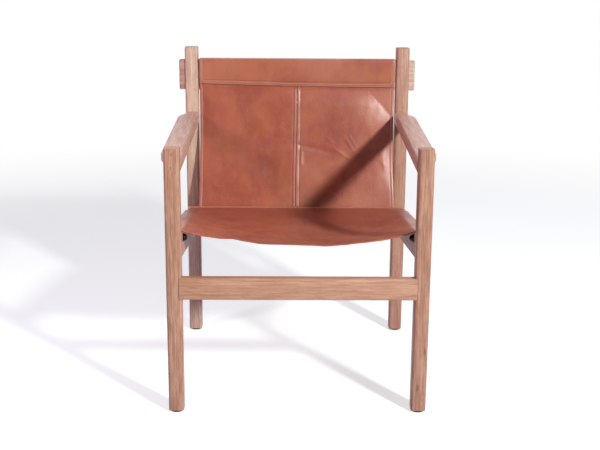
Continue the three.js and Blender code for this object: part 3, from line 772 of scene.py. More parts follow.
@dataclass(frozen=True)
class LeatherFinish(Finish):
    """Dyed full-grain leather, with its stitch grooves at set distances from the cut edges."""

    name: str
    deep: Colour = (0.305, 0.070, 0.038)
    body: Colour = (0.418, 0.116, 0.052)
    warm: Colour = (0.480, 0.158, 0.078)
    # pale is the colour of painted highlights: on the hems and along the seat's bend over the rear rail.
    pale: Colour = (0.600, 0.270, 0.200)
    flush: Colour = (0.370, 0.070, 0.048)
    side_stitch: float = 0.008
    seam_stitch: float = 0.0042
    end_stitch: float = 0.007
    along: float = 0.0
    gloss: float = 0.24
    presses: tuple[float, ...] = ()
    # How much painted shade deepens the seat towards its rear.
    rear_shade: float = 0.0

    def surface(self, tree: Tree) -> dict[str, Socket | float]:
        """Makes the nodes of the grain side."""
        pattern = tree.node("UVMap", uv_map="pattern").outputs[0]
        vector = tree.vector("ADD", pattern, (self.along, self.along * 0.7, 0))
        figure = LeatherFigure.on(tree, {"Vector": vector})
        dye = tree.blend(figure["Cloud"], self.deep, self.body)
        dyed = tree.layered(dye, (figure["Flush"], 0.55, self.flush), (figure["Pull"], 0.55, self.warm))
        groove, edge, hem = self.grooves(tree)
        valley = tree.math("SUBTRACT", 1.0, figure["Pore"])
        # self.worn paints shade towards the seat's rear and a highlight line along its rear bend.
        colour = tree.layered(
            # The hems are paled as a painted highlight.
            self.worn(tree, dyed), (figure["Scuff"], 0.20, self.deep), (hem, 0.32, self.pale),
            # Stitch grooves and pressed lines are darkened: partly the pressed leather's own darkening,
            # partly painted shade in the grooves.
            (groove, 0.42, self.deep), (edge, 0.55, tuple(c * 0.6 for c in self.deep)),
            (valley, 0.10, self.deep),
        )
        rough = tree.math("MULTIPLY_ADD", figure["Scuff"], 0.12, 0.45)
        height = tree.math("MULTIPLY", figure["Crease"], -0.55)
        for label, share in (("Grain", 1.1), ("Pore", 0.14)):
            height = tree.math("MULTIPLY_ADD", figure[label], share, height)
        sewn = tree.bump(tree.math("SUBTRACT", 1.0, groove), 0.0006, 1.0, tree.bump(height, 0.00030, 0.9))
        coat = tree.math("MULTIPLY", tree.math("MULTIPLY_ADD", figure["Pull"], 0.65, 0.35), self.gloss)
        for label, low, high, least in (("end", 0.012, 0.034, 0.25), ("seam", 0.004, 0.007, 0.35)):
            shown = tree.ramp(tree.attribute(f"{label}_gap"), low, high, (least, 1.0))
            coat = tree.math("MULTIPLY", coat, shown)
        return {
            "Base Color": colour,
            "Roughness": tree.math("SUBTRACT", rough, tree.math("MULTIPLY", figure["Cloud"], 0.07)),
            "Normal": sewn,
            "Coat Weight": coat,
            "Coat Roughness": 0.36,
            "Specular IOR Level": 0.5,
        }

    def worn(self, tree: Tree, colour: Socket) -> Socket:
        """Paints shade that deepens the seat towards its rear, and a painted highlight line where the leather
        bends over the rear rail.
        """
        if not self.rear_shade:
            return colour
        depth = tree.node("SeparateXYZ", {0: tree.place()}).outputs["Y"]
        # Painted shade: from the middle to the rear the colour goes towards deep.
        shade = tree.ramp(depth, -0.12, 0.14, (0.0, self.rear_shade))
        shaded = tree.blend(shade, colour, self.deep)
        # Painted highlight: a pale line along the bend over the rear rail.
        off = tree.math("ABSOLUTE", tree.math("SUBTRACT", depth, 0.194))
        return tree.blend(tree.ramp(off, 0.0100, 0.0060, (0.0, 0.90)), shaded, self.pale)

    def grooves(self, tree: Tree) -> tuple[Socket, Socket, Socket]:
        """Makes the masks of the stitch grooves, of the burnished margin and of the pressed hems, which carry
        a painted highlight.

        Args:
            tree: The material's tree.

        Returns:
            The grooves' mask, the margin's mask and the mask of the hems' painted highlight.
        """
        masks, margins, painted_hem_highlights = [], [], []
        stitches = {"side": self.side_stitch, "seam": self.seam_stitch, "end": self.end_stitch}
        for label, offset in stitches.items():
            gap = tree.attribute(f"{label}_gap")
            pressed = [(press, 0.0015) for press in self.presses if label == "end"]
            for place, width in ((offset, 0.0017), *pressed):
                masks.append(SeamGroove.on(tree, {"Gap": gap, "Offset": place, "Width": width})["Mask"])
            margins.append(tree.ramp(gap, 0.0022, 0.0))
            painted_hem_highlights.append(tree.ramp(gap, offset + 0.0008, offset - 0.0008))
        join = lambda parts: reduce(lambda a, b: tree.math("MAXIMUM", a, b), parts)
        return join(masks), join(margins), join(painted_hem_highlights)


@dataclass(frozen=True)
class FleshFinish(Finish):
    """The suede-like back of the leather."""

    name: str = "leather_flesh_side"
    pale: Colour = (0.500, 0.265, 0.160)
    deep: Colour = (0.345, 0.160, 0.090)

    def surface(self, tree: Tree) -> dict[str, Socket | float]:
        """Makes the finish's nodes."""
        pattern = tree.node("UVMap", uv_map="pattern").outputs[0]
        cloud = tree.ramp(tree.noise(pattern, 14, 5, 0.65), 0.35, 0.66)
        nap = tree.noise(tree.scaled(pattern, (1400, 900, 1)), 1, 3, 0.7)
        dye = tree.blend(cloud, self.deep, self.pale)
        return {
            "Base Color": tree.layered(dye, (nap, 0.35, self.deep)),
            "Roughness": tree.math("MULTIPLY_ADD", nap, 0.12, 0.80),
            "Normal": tree.bump(nap, 0.0003, 0.6),
            "Sheen Weight": 0.25,
            "Specular IOR Level": 0.25,
        }


@dataclass(frozen=True)
class CutEdgeFinish(Finish):
    """The cut edge of the leather: layered fibre, waxed and rubbed, its pale layers lightened as a painted
    highlight along the edge.
    """

    name: str = "leather_cut_edge"
    # Partly the fibre's own pale colour, partly a painted highlight along the cut edges.
    pale: Colour = (0.760, 0.500, 0.400)
    deep: Colour = (0.470, 0.230, 0.160)

    def surface(self, tree: Tree) -> dict[str, Socket | float]:
        """Makes the finish's nodes."""
        place = tree.place()
        layers = tree.noise(tree.scaled(place, (260, 260, 1600)), 1, 3, 0.6)
        wax = tree.ramp(tree.noise(place, 60, 3), 0.40, 0.65)
        dye = tree.blend(tree.ramp(layers, 0.35, 0.65), self.deep, self.pale)
        return {
            "Base Color": tree.layered(dye, (wax, 0.35, self.deep)),
            "Roughness": tree.math("MULTIPLY_ADD", layers, 0.25, 0.38),
            "Normal": tree.bump(layers, 0.00025, 0.6),
        }


@dataclass(frozen=True)
class ThreadFinish(Finish):
    """Waxed, twisted thread."""

    name: str = "waxed_thread"
    pale: Colour = (0.780, 0.520, 0.420)
    deep: Colour = (0.500, 0.285, 0.205)

    def surface(self, tree: Tree) -> dict[str, Socket | float]:
        """Makes the finish's nodes."""
        place = tree.place()
        twist = tree.node("TexWave", {
            "Vector": tree.scaled(place, (1, 1, 0.7)), "Scale": 260.0, "Distortion": 1.2, "Detail": 1.0,
        }, wave_type="BANDS", bands_direction="DIAGONAL").outputs["Fac"]
        soil = tree.ramp(tree.noise(place, 45, 3), 0.38, 0.66)
        return {
            "Base Color": tree.layered(self.pale, (twist, 0.55, self.deep), (soil, 0.30, self.deep)),
            "Roughness": tree.math("MULTIPLY_ADD", twist, 0.15, 0.52),
            "Normal": tree.bump(twist, 0.0002, 0.7),
        }


@dataclass(frozen=True)
class MetalFinish(Finish):
    """Turned metal, blackened or bare, with brushing and small rubbed spots."""

    name: str
    body: Colour
    rubbed: Colour
    roughness: float = 0.34
    rub: float = 0.4

    def surface(self, tree: Tree) -> dict[str, Socket | float]:
        """Makes the finish's nodes."""
        place = tree.place()
        haze = tree.noise(place, 240, 4, 0.65)
        spots = tree.ramp(tree.noise(place, 520, 3, 0.6), 0.56, 0.72)
        return {
            "Base Color": tree.layered(self.body, (spots, self.rub, self.rubbed)),
            "Roughness": tree.math("MULTIPLY_ADD", haze, 0.22, self.roughness - 0.11),
            "Normal": tree.bump(haze, 0.00008, 0.5),
            "Metallic": 1.0,
        }


@dataclass(frozen=True)
class PlasticFinish(Finish):
    """Black moulded nylon with a fine spark texture and dust in it."""

    name: str = "glide_nylon"
    body: Colour = (0.016, 0.015, 0.017)
    dust: Colour = (0.120, 0.108, 0.100)

    def surface(self, tree: Tree) -> dict[str, Socket | float]:
        """Makes the finish's nodes."""
        place = tree.place()
        spark = tree.noise(place, 2400, 2, 0.6)
        dusty = tree.ramp(tree.noise(place, 190, 4, 0.7), 0.50, 0.74)
        return {
            "Base Color": tree.layered(self.body, (dusty, 0.35, self.dust)),
            "Roughness": tree.math("MULTIPLY_ADD", spark, 0.20, 0.42),
            "Normal": tree.bump(spark, 0.0001, 0.5),
        }


# -------------------- what every sub-assembly does


class SubAssembly:
    """A part of the chair that models its pieces, dresses them and reports them."""

    sizes = SIZES

    def dress(
        self, piece: Piece, slot: str, finishes: Sequence[Material], stands_for: Sequence[str] = ()
    ) -> None:
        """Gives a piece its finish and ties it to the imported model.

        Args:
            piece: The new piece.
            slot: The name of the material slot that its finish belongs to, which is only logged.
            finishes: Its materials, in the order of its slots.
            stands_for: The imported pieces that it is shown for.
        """
        piece.data.materials.clear()
        for material in finishes:
            piece.data.materials.append(material)
        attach(piece, "root")
        if stands_for:
            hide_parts(*stands_for)
        LOG.info("%s: %d faces, slot %s", piece.name, len(piece.data.polygons), slot)

    def dress_in_wood(self, piece: Piece, node: str, slot: str, grain: Axis, **look: object) -> None:
        """Dresses a piece in wood of its own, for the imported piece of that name."""
        self.dress(piece, slot, [WoodFinish(f"wood_{node}", grain, **look).make()], [node])

    def build(self) -> None:
        """Models and dresses every piece."""
        raise NotImplementedError


def mark_rims(piece: Piece, flat: float = 0.992, turn: float = 0.17) -> None:
    """Writes how far each corner's normal turns from the flat faces, as the rim attribute.

    Args:
        piece: The piece, whose flat faces lie across the axes.
        flat: The greatest part of a normal at which the rim starts.
        turn: How much further that part falls until the rim is full.
    """
    mesh = piece.data
    values = [smooth((flat - max(abs(c) for c in corner.normal)) / turn) for corner in mesh.vertices]
    mesh.attributes.new("rim", "FLOAT", "POINT").data.foreach_set("value", values)


# -------------------- the wooden frame


@dataclass(frozen=True)
class Board:
    """A straight board whose outline is rounded across one axis and whose two faces there are eased."""

    name: str
    low: Point
    high: Point
    outline: Axis
    radius: float
    ease: float = 0.0
    fall: float = 0.0

    def model(self) -> Piece:
        """Models the board."""
        piece = Bench.block(self.name, self.low, self.high)
        if self.fall:
            middle = (self.low[Axis.Y] + self.high[Axis.Y]) / 2
            Bench.shift(piece, lambda p: p.y > middle, (0, 0, -self.fall))
        Bench.round_edges(piece, runs_along(self.outline, least=0.004), self.radius, steps=6)
        if self.ease:
            ends = lies_at(self.outline, self.low[self.outline], self.high[self.outline])
            Bench.round_edges(piece, ends, self.ease, steps=3)
        mark_rims(piece)
        return Bench.soften(piece)


@dataclass
class WoodenFrame(SubAssembly):
    """Posts, arms and rails, with the pins and dowels that hold them."""

    corner_radius: float = 0.007
    end_ease: float = 0.0025
    arm_thickness: float = 0.032
    arm_edge: float = 0.021
    arm_overhang: float = 0.015
    arm_neck: float = 0.018
    arm_flare: float = 0.044
    arm_radius: float = 0.005
    stretcher_top: float = 0.324
    stretcher_height: float = 0.050
    stretcher_thickness: float = 0.022
    stretcher_half: float = 0.269
    crest_stub: float = 0.0155
    pin_radius: float = 0.004
    pin_length: float = 0.030
    pin_proud: float = 0.0003
    # Per-post tints for the foot and for the part above half a metre: partly the wood's own tone, partly
    # painted light. Every post is lighter at its foot than above, painted light that stands in for the bounce
    # from the floor, and the back left post is paler and bluer as a painted sheen.
    post_tints_and_painted_light: dict[str, tuple[Colour, Colour]] = field(default_factory=lambda: {
        "front_post_left": ((0.97, 0.97, 0.93), (0.85, 0.83, 0.76)),
        "front_post_right": ((0.83, 0.81, 0.78), (0.73, 0.69, 0.63)),
        "back_post_left": ((1.17, 1.47, 1.64), (0.94, 1.20, 1.23)),
        "back_post_right": ((0.91, 0.90, 0.92), (0.77, 0.76, 0.74)),
    })
    # Arm tints, paler and bluer than the wood: a painted sheen on the arms' tops.
    arm_tints_and_painted_sheen: dict[Side, Colour] = field(default_factory=lambda: {
        Side.LEFT: (0.95, 1.09, 1.27), Side.RIGHT: (1.06, 1.16, 1.38)})
    post_knots: dict[str, tuple[Knot, ...]] = field(default_factory=lambda: {
        "front_post_left": (
            Knot((-0.279, -0.2975, 0.606), reach=0.013, swell=0.006),
            Knot((-0.281, -0.2975, 0.576), reach=0.011, swell=0.005),
        ),
        "front_post_right": (
            Knot((0.276, -0.2975, 0.062), reach=0.030, swell=0.014),
            Knot((0.290, -0.2975, 0.150), reach=0.026, swell=0.010),
        ),
    })

    def build(self) -> None:
        """Models and dresses every wooden piece."""
        for side in Side:
            self.posts(side)
            self.arm(side)
            self.side_rail(side)
            self.crest_pin(side)
        self.cross_rails()
        self.hidden_dowels()

    def posts(self, side: Side) -> None:
        """Models the front and the back post of one side."""
        s = self.sizes
        middle, half = side.value * s.post_centre, s.post_side / 2
        for word, y, top, spread_by, depth in (
            ("front", -s.post_centre, s.front_post_top, 1.6, 0.10),
            ("back", s.post_centre, s.back_post_top, 1.2, 0.06),
        ):
            name = f"{word}_post_{side.word}"
            low = (middle - half, y - half, s.glide_height)
            high = (middle + half, y + half, top)
            piece = Board(f"{name}_turned", low, high, Axis.Z, self.corner_radius, self.end_ease).model()
            if word == "front":
                Bench.hollow(piece, self.stretcher("notch", s.lay).model())
                Bench.soften(piece)
            # The post's tints carry painted light: lighter towards its foot.
            tone, end_tone = self.post_tints_and_painted_light[name]
            self.dress_in_wood(
                piece, name, "post_wood", Axis.Z, heart=(0.075 + 0.03 * side.value, depth),
                along=0.37 * side.value + y, tilt=0.010 + 0.006 * side.value, tone=tone, end_tone=end_tone,
                toned_over=(0.05, 0.50), knots=self.post_knots.get(name, ()), shine=0.7, roughness=0.38,
                spread=spread_by,
            )

    def stretcher(self, name: str, grown: float) -> Board:
        """The front stretcher's board, or the notch for it where it is grown."""
        s = self.sizes
        x, z = self.stretcher_half + grown, self.stretcher_top + grown
        front = -s.outer - (0.01 if grown else 0)
        low = (-x, front, z - self.stretcher_height - 2 * grown)
        high = (x, -s.outer + self.stretcher_thickness + grown, z)
        return Board(name, low, high, Axis.Y, radius=0.0018, ease=0.0 if grown else 0.0012)

    def cross_rails(self) -> None:
        """Models the stretcher, the crest rail and the rear seat rail."""
        s = self.sizes
        crest_half = s.outer + self.crest_stub
        crest_y = (s.post_centre - s.crest_thickness / 2, s.post_centre + s.crest_thickness / 2)
        crest = Board(
            "crest_rail_board", (-crest_half, crest_y[0], s.crest_bottom),
            (crest_half, crest_y[1], s.crest_top), Axis.Y, radius=0.004, ease=0.003,
        )
        rear = Board(
            "rear_seat_rail_board",
            (-s.inner + s.lay, s.rear_rail_front, s.rear_rail_top - s.rear_rail_height),
            (s.inner - s.lay, s.rear_rail_back, s.rear_rail_top), Axis.Y, radius=0.005, ease=0.004,
        )
        for board, node, heart, tones in (
            (self.stretcher("front_stretcher_board", 0.0), "front_stretcher", (0.16, 0.02), {
                "tone": (0.97, 0.96, 0.86), "end_tone": (0.98, 1.02, 1.00), "contrast": 0.9}),
            # The crest rail's tint turns paler and much bluer towards its right end: painted light and sheen
            # on the stub that the key lamp strikes.
            (crest, "crest_rail", (0.02, 0.075), {
                "tone": (0.86, 1.00, 1.13), "end_tone": (1.16, 1.64, 2.00), "contrast": 1.35}),
            (rear, "rear_seat_rail", (0.09, 0.05), {}),
        ):
            look = {"heart": heart, "along": heart[0] * 3, **tones}
            self.dress_in_wood(board.model(), node, "rail_wood", Axis.X, **look)

    def side_rail(self, side: Side) -> None:
        """Models one side rail, which falls to the rear."""
        s = self.sizes
        xs = sorted((side.value * s.inner, side.value * (s.inner + s.side_rail_thickness)))
        low = (xs[0], -s.inner + s.lay, s.side_rail_front - s.side_rail_height)
        high = (xs[1], s.inner - s.lay, s.side_rail_front)
        fall = s.side_rail_front - s.side_rail_rear
        node = f"side_rail_{side.word}"
        piece = Board(f"{node}_board", low, high, Axis.Y, radius=0.004, fall=fall).model()
        look = {"heart": (0.05, 0.12), "along": 0.21 * side.value, "tilt": 0.05}
        self.dress_in_wood(piece, node, "rail_wood", Axis.Y, **look)

    def arm(self, side: Side) -> None:
        """Models one arm: past a neck its outer edge swells, and its underside is cut away there."""
        s = self.sizes
        ends = (-s.inner + s.lay, s.inner - s.lay)
        xs = sorted((side.value * s.inner, side.value * s.outer))
        node = f"arm_{side.word}"
        piece = Bench.block(f"{node}_carved", (xs[0], ends[0], -self.arm_thickness), (xs[1], ends[1], 0))
        near, far = s.inner - self.arm_neck, s.inner - self.arm_neck - self.arm_flare
        stations = [ends[0], *spread(-near, -far, 9), *spread(far, near, 9), ends[1]]
        Bench.saw(piece, stations[1:-1], Axis.Y)
        for y in stations:
            self.carve(piece, side, y)
        Bench.round_edges(piece, runs_along(Axis.Y, least=0.002), self.arm_radius, steps=5)
        mark_rims(piece)
        self.dress_in_wood(
            Bench.soften(piece), node, "arm_wood", Axis.Y, heart=(0.03 + 0.02 * side.value, 0.055),
            along=0.4 + 0.3 * side.value, ring_gap=0.0042, shine=0.9, roughness=0.34,
            tone=self.arm_tints_and_painted_sheen[side],
        )

    def carve(self, piece: Piece, side: Side, y: float) -> None:
        """Shapes the arm at one station: swells its edge, thins it there and lifts it to its height."""
        s = self.sizes
        swell = self.arm_overhang * smooth((s.inner - abs(y) - self.arm_neck) / self.arm_flare)
        width = s.post_side + swell
        edge = mix(self.arm_thickness, self.arm_edge, width / (s.post_side + self.arm_overhang))
        here = lambda p: abs(p.y - y) < TOUCHING
        outer = lambda p: here(p) and abs(p.x) > s.inner + 0.01
        Bench.shift(piece, lambda p: outer(p) and p.z < -0.01, (0, 0, self.arm_thickness - edge))
        Bench.shift(piece, outer, (side.value * swell, 0, 0))
        Bench.shift(piece, here, (0, 0, s.arm_top(y)))

    def crest_pin(self, side: Side) -> None:
        """Models the pin that locks the crest rail in a back post, its end just proud of the wood."""
        s = self.sizes
        node = f"crest_pin_{side.word}"
        ends = (-self.pin_length, self.pin_proud)
        pin = Bench.drum(f"{node}_peg", self.pin_radius, *ends, sides=32)
        Bench.round_edges(pin, lies_at(Axis.Z, *ends), radius=0.0006, steps=3)
        middle = s.crest_top - s.crest_height / 2
        turn = Matrix.Rotation(math.radians(-90), 4, "X")
        pin.data.transform(Matrix.Translation((side.value * s.post_centre, s.outer, middle)) @ turn)
        look = {"heart": (0.02, 0.03), "along": side.value, "contrast": 0.9}
        self.dress_in_wood(Bench.soften(pin), node, "dowel_wood", Axis.Y, **look)

    def hidden_dowels(self) -> None:
        """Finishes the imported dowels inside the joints."""
        finish = WoodFinish("wood_hidden_dowels", Axis.X, heart=(0.02, 0.03), contrast=0.8).make()
        for name, node in sorted(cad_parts.items()):
            if "dowel" in name:
                for slot in node.material_slots:
                    slot.material = finish
                LOG.info("%s: packed piece with finish %s", name, finish.name)


# -------------------- battens, bolts and glides


@dataclass
class Fastenings(SubAssembly):
    """The battens that clamp the leather, their bolts and inserts, and the glides under the posts."""

    batten_height: float = 0.030
    batten_thickness: float = 0.006
    head_radius: float = 0.0085
    head_height: float = 0.008
    flange_radius: float = 0.010
    flange_thickness: float = 0.0015
    shank_radius: float = 0.004
    socket_radius: float = 0.0029
    socket_depth: float = 0.0035
    tip_gap: float = 0.0005
    insert_radius: float = 0.006
    side_bolt_drop: float = 0.016
    side_batten_from_post: float = 0.0115
    side_batten_before_back: float = 0.004
    side_batten_drop: float = 0.003
    back_batten_gap: float = 0.004
    glide_radius: float = 0.0155
    side_stations: tuple[float, ...] = (-0.2385, -0.04425, 0.150)
    rear_stations: tuple[float, ...] = (-0.2145, -0.0715, 0.0715, 0.2145)
    steel: Material = field(init=False)
    brass: Material = field(init=False)

    def build(self) -> None:
        """Models and dresses every fastening."""
        self.steel = MetalFinish(
            "black_oxide_steel", body=(0.018, 0.017, 0.019), rubbed=(0.30, 0.29, 0.30), roughness=0.30,
            rub=0.25,
        ).make()
        self.brass = MetalFinish(
            "brass_insert", body=(0.62, 0.42, 0.16), rubbed=(0.80, 0.62, 0.32), roughness=0.32, rub=0.5,
        ).make()
        for side in Side:
            self.side_batten(side)
        self.back_batten()
        self.bolts()
        self.glides()

    def side_batten(self, side: Side) -> None:
        """Models the batten on the outer face of one side rail."""
        s = self.sizes
        inside = s.inner + s.side_rail_thickness + 2 * s.lay + s.leather
        xs = sorted((side.value * inside, side.value * (inside + self.batten_thickness)))
        y0 = -s.inner + self.side_batten_from_post
        y1 = s.rear_rail_back - self.side_batten_before_back
        top = s.side_rail_top(y0) - self.side_batten_drop
        node = f"seat_batten_{side.word}"
        board = Board(
            f"{node}_board", (xs[0], y0, top - self.batten_height), (xs[1], y1, top), Axis.Y,
            radius=0.0022, fall=s.side_rail_top(y0) - s.side_rail_top(y1),
        )
        look = {"heart": (0.06, 0.09), "along": 0.55 * side.value, "tilt": 0.05}
        self.dress_in_wood(board.model(), node, "batten_wood", Axis.Y, **look)

    def back_batten(self) -> None:
        """Models the batten behind the rear seat rail."""
        s = self.sizes
        front = s.rear_rail_back + 3 * s.lay + 2 * s.leather
        reach, half = s.inner - self.back_batten_gap, self.batten_height / 2
        board = Board(
            "back_batten_board", (-reach, front, s.rear_bolt_height - half),
            (reach, front + self.batten_thickness, s.rear_bolt_height + half), Axis.Y,
            radius=0.0025, ease=0.0014,
        )
        look = {"heart": (0.10, 0.06), "along": 0.8}
        self.dress_in_wood(board.model(), "back_batten", "batten_wood", Axis.X, **look)

    def bolt(self, name: str, grip: float) -> Piece:
        """Models a flanged button-head bolt that bears on z = 0 from below.

        Args:
            name: The model's name.
            grip: What the bolt holds together, from the head to the far face.

        Returns:
            The bolt.
        """
        shoulder = -self.sizes.lay - self.flange_thickness
        flange = Bench.drum("flange", self.flange_radius, shoulder, -self.sizes.lay, sides=40)
        Bench.round_edges(flange, lies_at(Axis.Z, shoulder), radius=0.0005, steps=2)
        Bench.clear()
        bpy.ops.mesh.primitive_uv_sphere_add(segments=40, ring_count=20, radius=self.head_radius)
        bpy.context.active_object.scale = (1, 1, self.head_height / self.head_radius)
        head = Bench.settle("head")
        Bench.saw(head, [0.0], Axis.Z, use_fill=True, clear_outer=True)
        head.data.transform(Matrix.Translation((0, 0, shoulder)))
        tip = shoulder - self.head_height
        socket = Bench.drum("socket", self.socket_radius, tip - 0.002, tip + self.socket_depth, sides=6)
        Bench.hollow(head, socket)
        end = grip - self.tip_gap
        shank = Bench.drum(name, self.shank_radius, -self.sizes.lay, end, sides=24)
        Bench.round_edges(shank, lies_at(Axis.Z, end), radius=0.0006, steps=2)
        return Bench.soften(Bench.join([shank, flange, head]), degrees=32)

    def insert(self, name: str, grip: float) -> Piece:
        """Models a threaded insert, sunk in the batten's outer face.

        Args:
            name: The model's name.
            grip: What the bolt holds together, from the head to the far face.

        Returns:
            The insert.
        """
        sleeve = Bench.drum(name, self.insert_radius, grip - self.batten_thickness, grip, sides=32)
        bore = self.shank_radius + self.sizes.lay
        Bench.hollow(sleeve, Bench.drum("bore", bore, grip - 0.01, grip + 0.002, sides=32))
        Bench.round_edges(sleeve, lies_at(Axis.Z, grip), radius=0.0004, steps=2)
        return Bench.soften(sleeve, degrees=32)

    def bolts(self) -> None:
        """Places a bolt and its insert at every station."""
        s = self.sizes
        side_grip = s.side_rail_thickness + 2 * s.lay + s.leather + self.batten_thickness
        rear_grip = s.rear_rail_back - s.rear_rail_front + 3 * s.lay + 2 * s.leather + self.batten_thickness
        for side in Side:
            turn = Matrix.Rotation(side.value * math.pi / 2, 4, "Y")
            heights = [s.side_rail_top(y) - self.side_bolt_drop for y in self.side_stations]
            places = [
                Matrix.Translation((side.value * s.inner, y, z)) @ turn
                for y, z in zip(self.side_stations, heights)
            ]
            self.place_row(f"seat_bolt_{side.word}", f"seat_insert_{side.word}", side_grip, places)
        turn = Matrix.Rotation(-math.pi / 2, 4, "X")
        places = [
            Matrix.Translation((x, s.rear_rail_front, s.rear_bolt_height)) @ turn for x in self.rear_stations]
        self.place_row("back_bolt", "back_insert", rear_grip, places)

    def place_row(self, bolt: str, insert: str, grip: float, places: Sequence[Matrix]) -> None:
        """Copies one bolt and one insert to each place of a row."""
        models = (self.bolt("bolt_model", grip), self.insert("insert_model", grip))
        finishes = ((self.steel, "black_steel"), (self.brass, "brass"))
        for model, node, (material, slot) in zip(models, (bolt, insert), finishes):
            for number, place in enumerate(places, 1):
                piece = Bench.copy(model, f"{node}_{number}_fine", place)
                self.dress(piece, slot, [material], [f"{node}_{number}"])
            bpy.data.objects.remove(model)

    def glides(self) -> None:
        """Models one glide and copies it under each post."""
        s = self.sizes
        model = Bench.drum("glide_model", self.glide_radius, 0, s.glide_height, sides=40)
        Bench.round_edges(model, lies_at(Axis.Z, 0), radius=0.0012, steps=4)
        Bench.soften(model)
        material = PlasticFinish().make()
        for side in Side:
            for word, y in (("front", -s.post_centre), ("back", s.post_centre)):
                node = f"glide_{word}_{side.word}"
                place = Matrix.Translation((side.value * s.post_centre, y, 0))
                self.dress(Bench.copy(model, f"{node}_pad", place), "glide_plastic", [material], [node])
        bpy.data.objects.remove(model)


# -------------------- leather


def bent_path(corners: Sequence[Vector], radius: float, steps: int = 6) -> list[Vector]:
    """Rounds the inner corners of a 2-D path.

    Args:
        corners: The path's corners.
        radius: The radius at each inner corner.
        steps: Segments in each bend.

    Returns:
        The points of the rounded path.
    """
    points = [corners[0]]
    for before, corner, after in zip(corners, corners[1:], corners[2:]):
        a, b = (before - corner).normalized(), (after - corner).normalized()
        half = a.angle(b) / 2
        reach = min(radius / math.tan(half), 0.45 * (before - corner).length, 0.45 * (after - corner).length)
        centre = corner + (a + b).normalized() * (reach / math.cos(half))
        start, end = corner + a * reach - centre, corner + b * reach - centre
        sweep = start.angle_signed(end)
        for k in range(steps + 1):
            angle = -sweep * k / steps
            turned = Vector((
                start.x * math.cos(angle) - start.y * math.sin(angle),
                start.x * math.sin(angle) + start.y * math.cos(angle),
            ))
            points.append(centre + turned)
    points.append(corners[-1])
    return points


def even_path(points: Sequence[Vector], step: float) -> list[Vector]:
    """Adds points on the long straights of a path, so that no two are further apart than a step."""
    found = [points[0]]
    for a, b in zip(points, points[1:]):
        count = max(1, math.ceil((b - a).length / step))
        found.extend(a.lerp(b, k / count) for k in range(1, count + 1))
    return found


@dataclass(frozen=True)
class Crease:
    """A soft ridge or furrow on the back: a line from one point to another, in X and Z."""

    start: tuple[float, float]
    end: tuple[float, float]
    width: float
    height: float
    tail: float = 0.0

    def lift(self, x: float, z: float) -> float:
        """How far the crease lifts the leather at a place, and only below it where it has a tail."""
        a, b, p = Vector(self.start), Vector(self.end), Vector((x, z))
        run = b - a
        share = (p - a).dot(run) / run.length_squared
        fade = smooth((share + 0.25) / 0.35) * smooth((1.25 - share) / 0.35)
        apart = p - a - run * share
        off = apart.length
        if self.tail:
            swell = (1 - math.exp(-off / self.width)) * math.exp(-off / self.tail)
            return self.height * fade * swell if apart.y < 0 else 0.0
        return self.height * fade * bell(off, self.width)


